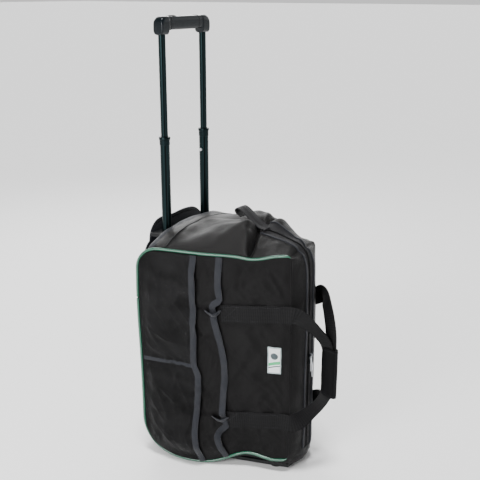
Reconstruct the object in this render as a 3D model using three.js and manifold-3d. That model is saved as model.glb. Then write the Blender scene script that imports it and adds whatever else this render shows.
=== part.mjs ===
// Wheeled bowling ball bag, standing on end with its pull-up handle out. Millimetres, +Z up.
// X runs across the bag (left is -X), Y runs from the zip at the front (-Y) to the handle at the back (+Y).
// The origin is under the middle of the whole object, on the floor.
import * as THREE from "three";
import Module from "manifold-3d";

const wasm = await Module();
wasm.setup();

// Gaps and wall thicknesses shared by every piece.
const GAP = 0.4;
const CLOTH = 3;
const PADDED = 5;
const BOARD = 4;
const STUB = 1;

// The bag's plan is a trapezoid: wide at the handle, narrow at the zip.
const BAG = { backHalf: 165, frontHalf: 60, depth: 325, ridge: 14, boardY: -24 };
const SIDE = {
  top: 512, frontTop: 522, low: 10, frontLow: 34,
  topRound: 46, lowRound: 70, frontRound: 16,
  riseFrom: 0.6, lowFrom: 0.42, lowSpan: 0.25,
};
const SIDE_BULGE = {
  middle: 5, low: 24, lowAt: 0.12, lowSpread: 0.14,
  lowRise: 0.1, fadeFrom: 0.45, fadeSpan: 0.4,
};
const PIPE = { radius: 4, sides: 8, steps: 18 };
const EDGE_GAP = 3;
const TOP = {
  overPipe: 2, crown: 50, crownPower: 2.4, noseLoss: 0.45,
  valley: 9.6, valleyWidth: 22, noseDrop: 16, noseFrom: 0.75,
  back: -30, split: -214, front: -320, overlap: 1.5,
};
const FLAP = { low: 46, top: 500, inset: 5.6, thick: CLOTH };

// The pull-up handle: two stages that slide out of two fixed tubes.
const RAIL = { x: 72.5, outer: 14, outerBore: 11.6, middle: 11, middleBore: 8.5, upper: 8, upperBore: 6.4 };
const RAIL_Z = { foot: 76, outerTop: 498, middleLow: 455, middleTop: 744, upperLow: 680, upperTop: 975 };
const COLLAR = { radius: 13.5, low: 728, top: 747 };
const SNAP = { z: 697, radius: 3.5, reach: 2.6, inner: 8.7 };
const BEZEL = { half: 104, front: -19, back: 23.5, low: 520, high: 528, notch: 9 };
const BRACKET = { half: 100, front: -17, back: 22, under: 3, over: 22 };
const GRIP = {
  half: 88, low: 976.4, high: 1004, depth: 30, round: 9, endBevel: 6, bevel: 5,
  cavityHalf: 81, cavityDepth: 14, roof: 6,
};
const CAP = { half: 13, depth: 12.5, low: 967, round: 6 };
const LINK = { half: 76.5, low: 983, high: 988, depth: 4, under: 3.5, rod: 3, rodLow: 692 };
const BUTTON = { x: -38, half: 11, depth: 5, top: 1006.5 };

// Wheels, and the moulded base that holds them.
const WHEEL = {
  x: 96, y: 10, z: 30, radius: 30, width: 22, shoulder: 3,
  hub: 21, hubCore: 9, hubWeb: 4, hubRim: 3, bore: 4.4, axle: 4,
};
const BASE = { half: 117, front: -46, back: 30, low: 9, high: 72, wellGap: 4, round: 9, axleIn: 4 };
const REAR = {
  half: 112, wrap: 150, y: 30, wrapY: 2, low: 76, high: 552,
  round: 64, under: 90, thick: 3.5, edge: 5,
};

// What lies inside.
const BALL = { radius: 108, y: -140, cupZ: 34, cupHigh: 66, cupFront: -292, cupBack: -52 };
const INSIDE = { gap: 3, tray: 2, cup: 6, shelf: 4, board: 2 };
const SHELF = { z: 263, thick: 6, hole: 46, front: -300, back: -30 };
const TRAY = { low: 8, high: 16, front: -322, back: -48 };
const FOOT = { x: 42, y: -284, radius: 13, high: 7.6 };

// Pockets, straps and trims on the sides.
const POCKET = { inset: 4, thick: 2, riseSpan: 0.6, flatness: 0.5 };
const CLOTH_POCKET = { from: 8, to: 188, low: 44, high: 500, rim: 4.6, puff: 9.5 };
const MESH_POCKET = { from: 10, to: 131, low: 52, high: 494, rim: 8.5, puff: 20 };
const STRAP = { wide: 40, thick: 2.4, from: 194, to: 318, topZ: 380, lowZ: 121, climb: 10, off: 1.2 };
const LOOP = {
  leave: 10.5, leaveDeg: 236, joinY: -370, wrapY: -388,
  topZ: 384, lowZ: 129, lowBend: 0.8, apart: 3,
};
const WRAP = { front: -411, back: -364, low: 190, high: 308, outer: 8.5, wall: 2.4 };
const LABEL = { from: 294, to: 324, low: 250, high: 313, off: 4.4, thick: 1.6 };

// The zip.
const ZIP = { half: 5, thick: 2.2, off: GAP, low: 48, top: 498 };
const SLIDER = { half: 6, high: 13, deep: 5, upperZ: 276, lowerZ: 260 };
const PULLER = { half: 2.6, thick: 1.8, long: 36, over: 2, shift: 3.2 };
const TAB = { y: -167, low: 566, high: 593, half: 3, wide: 34 };

// The middle of the bounding box, taken out of every piece at the end.
const CENTRE_Y = -185.5;

const lerp = (a, b, t) => a + (b - a) * t;
const clamp01 = (v) => Math.min(1, Math.max(0, v));
const smooth = (v) => clamp01(v) * clamp01(v) * (3 - 2 * clamp01(v));

const root = new THREE.Group();

// Adds one named piece with its own plain material.
function piece(name, geometry, color, roughness = 0.8, metalness = 0) {
  const mesh = new THREE.Mesh(geometry, new THREE.MeshStandardMaterial({ color, roughness, metalness }));
  mesh.name = name;
  mesh.position.set(0, -CENTRE_Y, 0);
  root.add(mesh);
}

// A geometry as a solid that can be cut or joined.
function toSolid(geometry) {
  const flat = geometry.index ? geometry.toNonIndexed() : geometry;
  const mesh = new wasm.Mesh({
    numProp: 3,
    vertProperties: flat.attributes.position.array,
    triVerts: Uint32Array.from({ length: flat.attributes.position.count }, (_, i) => i),
  });
  mesh.merge();
  return new wasm.Manifold(mesh);
}

// A cut or joined solid as a geometry again.
function toGeometry(solid) {
  const mesh = solid.getMesh();
  const places = new Float32Array(mesh.numVert * 3);
  for (let i = 0; i < mesh.numVert; i++) {
    places.set(mesh.vertProperties.subarray(i * mesh.numProp, i * mesh.numProp + 3), i * 3);
  }
  const geometry = new THREE.BufferGeometry();
  geometry.setAttribute("position", new THREE.BufferAttribute(places, 3));
  geometry.setIndex(new THREE.BufferAttribute(mesh.triVerts, 1));
  return geometry;
}

// Solids cut from a base, and solids joined into one.
const subtract = (base, ...cuts) =>
  toGeometry(cuts.reduce((solid, cut) => solid.subtract(toSolid(cut)), toSolid(base)));
const join = (first, ...rest) =>
  toGeometry(rest.reduce((solid, part) => solid.add(toSolid(part)), toSolid(first)));

// A box given by its two far corners.
function box(x0, x1, y0, y1, z0, z1) {
  const geometry = new THREE.BoxGeometry(x1 - x0, y1 - y0, z1 - z0);
  return geometry.translate((x0 + x1) / 2, (y0 + y1) / 2, (z0 + z1) / 2);
}

// An upright cylinder from z0 to z1.
function rod(x, y, radius, z0, z1, sides = 24) {
  const geometry = new THREE.CylinderGeometry(radius, radius, z1 - z0, sides);
  return geometry.rotateX(Math.PI / 2).translate(x, y, (z0 + z1) / 2);
}

// A cylinder along X from x0 to x1.
function crossRod(y, z, radius, x0, x1, sides = 32) {
  const geometry = new THREE.CylinderGeometry(radius, radius, Math.abs(x1 - x0), sides);
  return geometry.rotateZ(Math.PI / 2).translate((x0 + x1) / 2, y, z);
}

// A ring of revolution about an upright axis: the closed profile holds [radius, z] pairs, anticlockwise.
function ring(x, y, profile, sides = 28) {
  const points = [...profile, profile[0]].map(([r, z]) => new THREE.Vector2(r, z));
  return new THREE.LatheGeometry(points, sides).rotateX(Math.PI / 2).translate(x, y, 0);
}

const tube = (x, y, outer, inner, z0, z1, sides = 28) =>
  ring(x, y, [[inner, z0], [outer, z0], [outer, z1], [inner, z1]], sides);

// A flat outline in X and Y, raised from z0 to z1.
function raise(points, z0, z1) {
  const shape = new THREE.Shape(points.map(([x, y]) => new THREE.Vector2(x, y)));
  return new THREE.ExtrudeGeometry(shape, { depth: z1 - z0, bevelEnabled: false }).translate(0, 0, z0);
}

// A rectangle with rounded corners, as a list of points.
function roundedOutline(a0, a1, b0, b1, radius, steps = 5) {
  const corners = [[a1 - radius, b0 + radius, -1], [a1 - radius, b1 - radius, 0],
    [a0 + radius, b1 - radius, 1], [a0 + radius, b0 + radius, 2]];
  return corners.flatMap(([a, b, quarter]) => Array.from({ length: steps + 1 }, (_, i) => {
    const turn = (quarter + i / steps) * Math.PI / 2;
    return [a + radius * Math.cos(turn), b + radius * Math.sin(turn)];
  }));
}

// A mesh from a list of points and the triangles between them.
function mesh(points, faces) {
  const geometry = new THREE.BufferGeometry();
  const numbers = points.flatMap((p) => [p.x, p.y, p.z]);
  geometry.setAttribute("position", new THREE.Float32BufferAttribute(numbers, 3));
  geometry.setIndex(faces);
  return geometry;
}

// A closed sheet: surface(s, t) gives a point for s and t from 0 to 1, and the sheet is thickened to one side.
function sheet(surface, across, along, thickness) {
  const near = [];
  const far = [];
  const step = 1e-3;
  for (let j = 0; j <= along; j++) {
    for (let i = 0; i <= across; i++) {
      const s = i / across;
      const t = j / along;
      const point = surface(s, t);
      const ds = surface(clamp01(s + step), t).sub(surface(clamp01(s - step), t));
      const dt = surface(s, clamp01(t + step)).sub(surface(s, clamp01(t - step)));
      near.push(point);
      far.push(point.clone().addScaledVector(ds.cross(dt).normalize(), thickness));
    }
  }
  const points = [...near, ...far];
  const half = near.length;
  const at = (i, j) => j * (across + 1) + i;
  const faces = [];
  const quad = (a, b, c, d) => {
    const turned = thickness > 0 ? [a, b, c, a, c, d] : [c, b, a, d, c, a];
    faces.push(...turned);
  };
  for (let j = 0; j < along; j++) {
    for (let i = 0; i < across; i++) {
      quad(at(i, j), at(i, j + 1), at(i + 1, j + 1), at(i + 1, j));
      quad(half + at(i, j), half + at(i + 1, j), half + at(i + 1, j + 1), half + at(i, j + 1));
    }
    quad(at(0, j), half + at(0, j), half + at(0, j + 1), at(0, j + 1));
    quad(at(across, j + 1), half + at(across, j + 1), half + at(across, j), at(across, j));
  }
  for (let i = 0; i < across; i++) {
    quad(at(i + 1, 0), half + at(i + 1, 0), half + at(i, 0), at(i, 0));
    quad(at(i, along), half + at(i, along), half + at(i + 1, along), at(i + 1, along));
  }
  return mesh(points, faces);
}

// Mirrors a left-hand geometry to the right, keeping its faces outward.
function mirrored(geometry) {
  const copy = (geometry.index ? geometry.toNonIndexed() : geometry.clone()).scale(-1, 1, 1);
  const place = copy.attributes.position;
  for (let i = 0; i < place.count; i += 3) {
    const [x, y, z] = [place.getX(i), place.getY(i), place.getZ(i)];
    place.setXYZ(i, place.getX(i + 2), place.getY(i + 2), place.getZ(i + 2));
    place.setXYZ(i + 2, x, y, z);
  }
  return copy;
}

// Makes a piece on the left and its mirror image on the right.
function pair(name, geometry, ...look) {
  piece(name + "_left", geometry, ...look);
  piece(name + "_right", mirrored(geometry), ...look);
}

// The left side plane, from the back edge (u = 0) to the front edge (u = sideLength).
const sideStep = new THREE.Vector2(BAG.backHalf - BAG.frontHalf, -BAG.depth);
const sideLength = sideStep.length();
sideStep.normalize();
const sideOut = new THREE.Vector2(sideStep.y, -sideStep.x);
const onSide = (u, off, z) =>
  new THREE.Vector3(-BAG.backHalf + sideStep.x * u + sideOut.x * off, sideStep.y * u + sideOut.y * off, z);
const halfWidth = (y) => BAG.backHalf + (BAG.backHalf - BAG.frontHalf) * y / BAG.depth;

// How far a quarter-round corner of one radius pulls the edge in, at a distance from the end.
const cornerCut = (distance, radius) =>
  distance >= radius ? 0 : radius - Math.sqrt(Math.max(0, radius * radius - (radius - distance) ** 2));

// The top and bottom edges of a side, inset all round.
function sideEdge(u, inset) {
  const fromBack = u - inset;
  const fromFront = sideLength - inset - u;
  const rise = clamp01((u / sideLength - SIDE.riseFrom) / (1 - SIDE.riseFrom));
  const top = lerp(SIDE.top, SIDE.frontTop, rise) - inset
    - cornerCut(fromBack, SIDE.topRound - inset) - cornerCut(fromFront, SIDE.frontRound - inset);
  const low = lerp(SIDE.low, SIDE.frontLow, smooth((u / sideLength - SIDE.lowFrom) / SIDE.lowSpan)) + inset
    + cornerCut(fromBack, SIDE.lowRound - inset) + cornerCut(fromFront, SIDE.frontRound - inset);
  return [low, top];
}

// How far the padded side stands out, from s = 0 at the back and t = 0 at the bottom.
function bulge(s, t) {
  const middle = SIDE_BULGE.middle * 4 * t * (1 - t);
  const hump = Math.exp(-(((t - SIDE_BULGE.lowAt) / SIDE_BULGE.lowSpread) ** 2));
  const nearFloor = hump * smooth(t / SIDE_BULGE.lowRise);
  const fade = 1 - smooth((s - SIDE_BULGE.fadeFrom) / SIDE_BULGE.fadeSpan);
  return 4 * s * (1 - s) * (middle + SIDE_BULGE.low * nearFloor * fade);
}

// How far the side panel stands out at a place on the side.
const panelInset = PIPE.radius + EDGE_GAP;
function panelBulge(u, z) {
  const [low, top] = sideEdge(u, panelInset);
  const across = clamp01((u - panelInset) / (sideLength - 2 * panelInset));
  return bulge(Math.acos(1 - 2 * across) / Math.PI, (z - low) / (top - low));
}

// Side panels: padded cloth inside the piping.
const sidePanel = sheet((s, t) => {
  const u = lerp(panelInset, sideLength - panelInset, (1 - Math.cos(Math.PI * s)) / 2);
  const [low, top] = sideEdge(u, panelInset);
  return onSide(u, bulge(s, t) - PADDED, lerp(low, top, t));
}, 14, 22, PADDED);
pair("side_panel", sidePanel, 0x26282b, 0.9);

// Piping round each side panel: along the top edge, then back along the bottom edge.
function pipingPath() {
  const along = (i) => sideLength * (1 - Math.cos(Math.PI * i / PIPE.steps)) / 2;
  const stations = Array.from({ length: PIPE.steps + 1 }, (_, i) => along(i));
  const top = stations.map((u) => onSide(u, 0, sideEdge(u, 0)[1]));
  const bottom = stations.map((u) => onSide(u, 0, sideEdge(u, 0)[0]));
  return [...top, ...bottom.reverse()];
}

// Sweeps a round section along a closed ring of points that lie in the left side plane.
function sweepRing(path, radius, sides) {
  const normal = new THREE.Vector3(sideOut.x, sideOut.y, 0);
  const points = [];
  path.forEach((p, i) => {
    const next = path[(i + 1) % path.length];
    const last = path[(i + path.length - 1) % path.length];
    const side = next.clone().sub(last).normalize().cross(normal).normalize();
    for (let k = 0; k < sides; k++) {
      const turn = 2 * Math.PI * k / sides;
      const point = p.clone().addScaledVector(side, radius * Math.cos(turn));
      points.push(point.addScaledVector(normal, radius * Math.sin(turn)));
    }
  });
  const faces = [];
  path.forEach((_, i) => {
    const j = (i + 1) % path.length;
    for (let k = 0; k < sides; k++) {
      const m = (k + 1) % sides;
      faces.push(i * sides + k, j * sides + m, i * sides + m, i * sides + k, j * sides + k, j * sides + m);
    }
  });
  return mesh(points, faces);
}
pair("piping", sweepRing(pipingPath(), PIPE.radius, PIPE.sides), 0x27b083, 0.45);

// Back wall of the ball compartment.
const boardHalf = halfWidth(BAG.boardY) - PADDED - PIPE.radius - INSIDE.board;
const boardOutline = roundedOutline(-boardHalf, boardHalf, BASE.high + 1, SIDE.top + 8, 26);
const backBoard = raise(boardOutline, 0, BOARD).rotateX(Math.PI / 2);
backBoard.translate(0, BAG.boardY + BOARD, 0);
piece("back_board", backBoard, 0x2b2d30, 0.85);

// Height of the top of the bag over a point of its plan.
function topHeight(x, y) {
  const across = Math.min(1, Math.abs(x) / (halfWidth(y) - panelInset));
  const along = -y / BAG.depth;
  const rise = clamp01((along - SIDE.riseFrom) / (1 - SIDE.riseFrom));
  const rim = TOP.overPipe + lerp(SIDE.top, SIDE.frontTop, rise);
  const nose = smooth((TOP.split - y) / (TOP.split - TOP.front));
  const crown = TOP.crown * (1 - TOP.noseLoss * nose) * (1 - across ** TOP.crownPower);
  const valley = TOP.valley * nose * Math.exp(-((x / TOP.valleyWidth) ** 2));
  const drop = TOP.noseDrop * smooth((nose - TOP.noseFrom) / (1 - TOP.noseFrom)) * (1 - across);
  return rim + crown - valley - drop;
}

// Top panel between the handle and the end of the zip.
const topPanel = sheet((s, t) => {
  const y = lerp(TOP.back, TOP.split, t);
  const x = lerp(-1, 1, s) * (halfWidth(y) - panelInset);
  return new THREE.Vector3(x, y, topHeight(x, y) - CLOTH);
}, 16, 8, -CLOTH);
piece("top_panel", topPanel, 0x2e2f31, 0.9);

// Top flaps, either side of the zip over the front of the top.
const topFlap = sheet((s, t) => {
  const y = lerp(TOP.split - TOP.overlap, TOP.front, t);
  const x = lerp(-(halfWidth(y) - panelInset), -STUB, s);
  return new THREE.Vector3(x, y, topHeight(x, y) - CLOTH);
}, 8, 6, -CLOTH);
pair("top_flap", topFlap, 0x2c2d30, 0.9);

// Front flaps, which meet at the zip.
const ridgeY = (x) => -BAG.depth - BAG.ridge * Math.sqrt(Math.max(0, 1 - (x / BAG.frontHalf) ** 2));
const frontFlap = sheet((s, t) => {
  const x = lerp(-BAG.frontHalf + FLAP.inset, -STUB, s);
  return new THREE.Vector3(x, ridgeY(x) + FLAP.thick, lerp(FLAP.low, FLAP.top, t));
}, 6, 8, -FLAP.thick);
pair("front_flap", frontFlap, 0x2a2b2e, 0.9);

// Zip teeth on each front flap.
const zipFace = ridgeY(0) - ZIP.off;
const teeth = box(-ZIP.half, -GAP, zipFace - ZIP.thick, zipFace, ZIP.low, ZIP.top);
pair("zip_teeth", teeth, 0x1c1d1f, 0.5);

// Two sliders that meet behind the carry handle, each with its puller.
const sliderFace = zipFace - ZIP.thick - GAP;
const pullerFace = sliderFace - SLIDER.deep - GAP;
[["upper", SLIDER.upperZ, -PULLER.shift], ["lower", SLIDER.lowerZ, PULLER.shift]].forEach(([name, z, x]) => {
  const [low, high] = [z - SLIDER.high / 2, z + SLIDER.high / 2];
  const body = box(-SLIDER.half, SLIDER.half, sliderFace - SLIDER.deep, sliderFace, low, high);
  piece("zip_slider_" + name, body, 0x3a3d42, 0.35, 0.9);
  const [left, right] = [x - PULLER.half, x + PULLER.half];
  const tag = box(left, right, pullerFace - PULLER.thick, pullerFace, z - PULLER.long, z + PULLER.over);
  piece("zip_puller_" + name, tag, 0x2a2c30, 0.6);
});

// Folded cloth tab at the end of the zip.
const tab = box(-TAB.half, TAB.half, TAB.y - TAB.wide / 2, TAB.y + TAB.wide / 2, TAB.low, TAB.high);
piece("zip_tab", tab, 0x26272a, 0.8);

// Pockets: a cloth pocket with a mesh pocket over it, both open towards the front.
function pocket({ from, to, low, high, rim, puff }) {
  return sheet((s, t) => {
    const u = lerp(from, to, s);
    const [edgeLow, edgeTop] = sideEdge(u, panelInset + POCKET.inset);
    const z = lerp(Math.max(low, edgeLow), Math.min(high, edgeTop), t);
    const swell = smooth(s / POCKET.riseSpan) * Math.sin(Math.PI * clamp01(t)) ** POCKET.flatness;
    return onSide(u, panelBulge(u, z) + rim + puff * swell, z);
  }, 8, 22, POCKET.thick);
}
pair("cloth_pocket", pocket(CLOTH_POCKET), 0x232529, 0.85);
pair("mesh_pocket", pocket(MESH_POCKET), 0x17181a, 0.8);

// Webbing sewn to the sides, ahead of the pockets.
function sideStrap(middle) {
  return sheet((s, t) => {
    const u = lerp(STRAP.from, STRAP.to, s);
    const z = middle + STRAP.wide * (t - 0.5) + STRAP.climb * s;
    return onSide(u, panelBulge(u, z) + STRAP.off, z);
  }, 6, 2, STRAP.thick);
}
pair("strap_top", sideStrap(STRAP.topZ), 0x202124, 0.8);
pair("strap_bottom", sideStrap(STRAP.lowZ), 0x202124, 0.8);

// Woven maker's patch, without words.
const label = sheet((s, t) => {
  const u = lerp(LABEL.from, LABEL.to, s);
  return onSide(u, LABEL.off, lerp(LABEL.low, LABEL.high, t));
}, 2, 2, LABEL.thick);
piece("woven_patch", label, 0xd9dde0, 0.7);

// The free part of each carry strap: out over the front edge, down through the wrap and back.
function handleLoop() {
  const half = () => {
    const turn = LOOP.leaveDeg * Math.PI / 180;
    const leave = [-BAG.frontHalf + LOOP.leave * Math.cos(turn), -BAG.depth + LOOP.leave * Math.sin(turn)];
    return [
      [...leave, 6], [-48, -346, 2], [-20, LOOP.joinY, -14],
      [-LOOP.apart - 2, LOOP.wrapY, -42], [-LOOP.apart, LOOP.wrapY, -72],
    ];
  };
  const knots = [
    ...half().map(([x, y, z]) => new THREE.Vector3(x, y, LOOP.topZ + z)),
    ...half().reverse().map(([x, y, z]) => new THREE.Vector3(x, y, LOOP.lowZ - z * LOOP.lowBend)),
  ];
  const path = new THREE.CatmullRomCurve3(knots, false, "centripetal");
  const halfWide = STRAP.wide / 2;
  return sheet((s, t) => {
    const along = clamp01(t);
    const p = path.getPoint(along);
    const way = path.getTangent(along);
    const flat = new THREE.Vector3(-1, 0, 0);
    const spread = new THREE.Vector3().crossVectors(flat, way).normalize();
    return p.addScaledVector(spread, lerp(-halfWide, halfWide, s));
  }, 2, 26, -STRAP.thick);
}
pair("handle_loop", handleLoop(), 0x1f2023, 0.8);

// Padded wrap round the two straps, open towards the right.
const wrapOutline = [
  [-WRAP.outer, WRAP.front], [WRAP.outer, WRAP.front], [WRAP.outer, WRAP.front + WRAP.wall],
  [-WRAP.outer + WRAP.wall, WRAP.front + WRAP.wall], [-WRAP.outer + WRAP.wall, WRAP.back - WRAP.wall],
  [WRAP.outer, WRAP.back - WRAP.wall], [WRAP.outer, WRAP.back], [-WRAP.outer, WRAP.back],
];
piece("handle_wrap", raise(wrapOutline, WRAP.low, WRAP.high), 0x1c1d20, 0.75);

// Moulded base with two wheel wells.
const baseOutline = roundedOutline(-BASE.half, BASE.half, BASE.front, BASE.back, BASE.round);
const baseBody = raise(baseOutline, BASE.low, BASE.high);
const wellHalf = WHEEL.width / 2 + BASE.wellGap;
const wellRadius = WHEEL.radius + BASE.wellGap;
const wells = [-WHEEL.x, WHEEL.x].flatMap((x) => [
  crossRod(WHEEL.y, WHEEL.z, wellRadius, x - wellHalf, x + wellHalf),
  box(x - wellHalf, x + wellHalf, WHEEL.y - wellRadius, BASE.back + STUB, BASE.low - STUB, WHEEL.z),
]);
const axleEnd = BASE.half - BASE.axleIn;
const axleHole = crossRod(WHEEL.y, WHEEL.z, WHEEL.axle + GAP, -BASE.half - STUB, BASE.half + STUB, 16);
piece("wheel_base", subtract(baseBody, ...wells, axleHole), 0x1b1c1e, 0.6);
piece("wheel_axle", crossRod(WHEEL.y, WHEEL.z, WHEEL.axle, -axleEnd, axleEnd, 16), 0x8a8d90, 0.35, 1);

// Tyres and hubs.
const halfWheel = WHEEL.width / 2;
function wheelRing(profile, x) {
  return ring(0, 0, profile, 36).rotateY(Math.PI / 2).translate(x, WHEEL.y, WHEEL.z);
}
const shoulder = WHEEL.radius - WHEEL.shoulder;
const tyreProfile = [
  [WHEEL.hub + GAP, -halfWheel], [shoulder, -halfWheel], [WHEEL.radius, -halfWheel + WHEEL.shoulder],
  [WHEEL.radius, halfWheel - WHEEL.shoulder], [shoulder, halfWheel], [WHEEL.hub + GAP, halfWheel],
];
const hubEdge = [
  [WHEEL.bore, halfWheel + 1], [WHEEL.hubCore, halfWheel + 1], [WHEEL.hubCore, WHEEL.hubWeb],
  [WHEEL.hub - WHEEL.hubRim, WHEEL.hubWeb], [WHEEL.hub - WHEEL.hubRim, halfWheel], [WHEEL.hub, halfWheel],
];
const hubProfile = [...hubEdge.map(([r, x]) => [r, -x]), ...hubEdge.reverse()];
pair("wheel_tyre", wheelRing(tyreProfile, -WHEEL.x), 0x151617, 0.9);
pair("wheel_hub", wheelRing(hubProfile, -WHEEL.x), 0x3b3e42, 0.5);

// Rear cover: a shallow channel behind the tubes.
const rearOutline = [
  [-REAR.wrap, REAR.wrapY], [-REAR.half, REAR.y], [REAR.half, REAR.y], [REAR.wrap, REAR.wrapY],
  [REAR.wrap - REAR.edge, REAR.wrapY], [REAR.half - 2, REAR.y - REAR.thick],
  [-REAR.half + 2, REAR.y - REAR.thick], [-REAR.wrap + REAR.edge, REAR.wrapY],
].reverse();
const crownHalf = REAR.wrap + STUB;
const crownOutline = roundedOutline(-crownHalf, crownHalf, REAR.low - REAR.under, REAR.high, REAR.round);
const rearCrown = raise(crownOutline, -2 * REAR.y, 2 * REAR.y).rotateX(Math.PI / 2);
const rearChannel = toSolid(raise(rearOutline, REAR.low, REAR.high));
piece("rear_cover", toGeometry(rearChannel.intersect(toSolid(rearCrown))), 0x1f2022, 0.8);

// Fixed tubes, their foot bracket and the guide at the top of the bag.
for (const side of [-1, 1]) {
  const name = side < 0 ? "_left" : "_right";
  const x = side * RAIL.x;
  const outer = tube(x, 0, RAIL.outer, RAIL.outerBore, RAIL_Z.foot, RAIL_Z.outerTop);
  piece("outer_tube" + name, outer, 0x3f5152, 0.35, 0.9);
  const snapHole = crossRod(0, SNAP.z, SNAP.radius + GAP, x - side * RAIL.middle * 1.2, x, 16);
  const middle = tube(x, 0, RAIL.middle, RAIL.middleBore, RAIL_Z.middleLow, RAIL_Z.middleTop);
  piece("middle_tube" + name, subtract(middle, snapHole), 0x33494a, 0.35, 0.9);
  const ledge = RAIL_Z.middleTop + GAP;
  const collar = ring(x, 0, [
    [RAIL.upper + GAP, ledge], [RAIL.middle + GAP, ledge], [RAIL.middle + GAP, COLLAR.low],
    [COLLAR.radius, COLLAR.low], [COLLAR.radius, COLLAR.top - 1], [COLLAR.radius - 1, COLLAR.top],
    [RAIL.upper + GAP, COLLAR.top],
  ]);
  piece("stage_collar" + name, collar, 0x15171a, 0.4);
  const snapEnds = [x - side * (RAIL.middle + SNAP.reach), x - side * SNAP.inner];
  const snap = crossRod(0, SNAP.z, SNAP.radius, Math.min(...snapEnds), Math.max(...snapEnds), 16);
  piece("snap_button" + name, snap, 0xa8adb0, 0.3, 1);
  const upper = tube(x, 0, RAIL.upper, RAIL.upperBore, RAIL_Z.upperLow, RAIL_Z.upperTop);
  piece("upper_tube" + name, subtract(upper, snapHole), 0x2f4647, 0.35, 0.9);
  const capOutline = roundedOutline(x - CAP.half, x + CAP.half, -CAP.depth, CAP.depth, CAP.round);
  const capHole = rod(x, 0, RAIL.upper + GAP, CAP.low - STUB, GRIP.low);
  piece("grip_cap" + name, subtract(raise(capOutline, CAP.low, GRIP.low - GAP), capHole), 0x17191c, 0.35);
}
const bracketLow = RAIL_Z.foot - BRACKET.under;
const bracketTop = RAIL_Z.foot + BRACKET.over;
const bracket = box(-BRACKET.half, BRACKET.half, BRACKET.front, BRACKET.back, bracketLow, bracketTop);
const sockets = [-RAIL.x, RAIL.x].map((x) => rod(x, 0, RAIL.outer + GAP, RAIL_Z.foot - GAP, bracketTop + STUB));
piece("tube_bracket", subtract(bracket, ...sockets), 0x1e1f21, 0.6);
const bezelBody = box(-BEZEL.half, BEZEL.half, BEZEL.front, BEZEL.back, BEZEL.low, BEZEL.high);
const notchEnd = RAIL.x - RAIL.middle - 4;
const bezelCuts = [-1, 1].flatMap((side) => {
  const ends = [side * RAIL.x, side * notchEnd];
  const [low, high] = [BEZEL.low - STUB, BEZEL.high + STUB];
  return [
    rod(side * RAIL.x, 0, RAIL.middle + GAP, low, high),
    box(Math.min(...ends), Math.max(...ends), -BEZEL.notch / 2, BEZEL.notch / 2, low, high),
  ];
});
piece("handle_bezel", subtract(bezelBody, ...bezelCuts), 0x1a1b1d, 0.6);

// Hand grip: a hollow bar with a release button, and the link and rods that it pushes.
const gripSection = roundedOutline(-GRIP.depth / 2, GRIP.depth / 2, GRIP.low, GRIP.high, GRIP.round);
const gripShape = new THREE.Shape(gripSection.map(([y, z]) => new THREE.Vector2(y, z)));
const gripBar = new THREE.ExtrudeGeometry(gripShape, {
  depth: 2 * (GRIP.half - GRIP.endBevel),
  bevelEnabled: true,
  bevelThickness: GRIP.endBevel,
  bevelSize: GRIP.bevel,
  bevelOffset: -GRIP.bevel,
  bevelSegments: 3,
});
gripBar.translate(0, 0, GRIP.endBevel - GRIP.half);
gripBar.applyMatrix4(new THREE.Matrix4().makeBasis(
  new THREE.Vector3(0, 1, 0), new THREE.Vector3(0, 0, 1), new THREE.Vector3(1, 0, 0)));

// A box round a middle X, as deep as it is said to each side of Y = 0.
const barAt = (x, half, depth, z0, z1) => box(x - half, x + half, -depth, depth, z0, z1);
const gripCuts = [
  barAt(0, GRIP.cavityHalf, GRIP.cavityDepth / 2, LINK.low - LINK.under, GRIP.high - GRIP.roof),
  barAt(BUTTON.x, BUTTON.half + GAP, BUTTON.depth + GAP, LINK.high, BUTTON.top),
  ...[-RAIL.x, RAIL.x].map((x) => rod(x, 0, LINK.rod + STUB, GRIP.low - STUB, LINK.low)),
];
piece("grip_bar", subtract(gripBar, ...gripCuts), 0x111418, 0.2);
const rods = [-RAIL.x, RAIL.x].map((x) => rod(x, 0, LINK.rod, LINK.rodLow, LINK.low + STUB, 12));
const linkBar = barAt(0, LINK.half, LINK.depth, LINK.low, LINK.high);
piece("release_link", join(linkBar, ...rods), 0x6b6f72, 0.5, 0.6);
const button = barAt(BUTTON.x, BUTTON.half, BUTTON.depth, LINK.high + GAP, BUTTON.top);
piece("release_button", button, 0x24282d, 0.4);

// Floor of the bag, its feet, the ball cup and the shelf between the two balls.
function planOutline(y0, y1, inset) {
  const [front, back] = [halfWidth(y0) - inset, halfWidth(y1) - inset];
  return [[-front, y0], [front, y0], [back, y1], [-back, y1]];
}
const insideInset = PADDED + INSIDE.gap;
const trayOutline = planOutline(TRAY.front, TRAY.back, insideInset + INSIDE.tray);
piece("base_board", raise(trayOutline, TRAY.low, TRAY.high), 0x222326, 0.7);
pair("foot", rod(-FOOT.x, FOOT.y, FOOT.radius, 0, FOOT.high, 24), 0x121314, 0.85);
const cupOutline = planOutline(BALL.cupFront, BALL.cupBack, insideInset + INSIDE.cup);
const cupBall = new THREE.SphereGeometry(BALL.radius + 1, 24, 16);
cupBall.translate(0, BALL.y, BALL.cupZ + BALL.radius);
piece("ball_cup", subtract(raise(cupOutline, TRAY.high + GAP, BALL.cupHigh), cupBall), 0x33363a, 0.95);
const shelfOutline = planOutline(SHELF.front, SHELF.back, insideInset + INSIDE.shelf);
const shelfTop = SHELF.z + SHELF.thick;
const shelfHole = rod(0, BALL.y, SHELF.hole, SHELF.z - STUB, shelfTop + STUB);
piece("ball_shelf", subtract(raise(shelfOutline, SHELF.z, shelfTop), shelfHole), 0x33363a, 0.95);

export default root;
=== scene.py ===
import math
import bmesh
import bpy
import numpy as np
from mathutils import Matrix, Vector, noise


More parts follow.
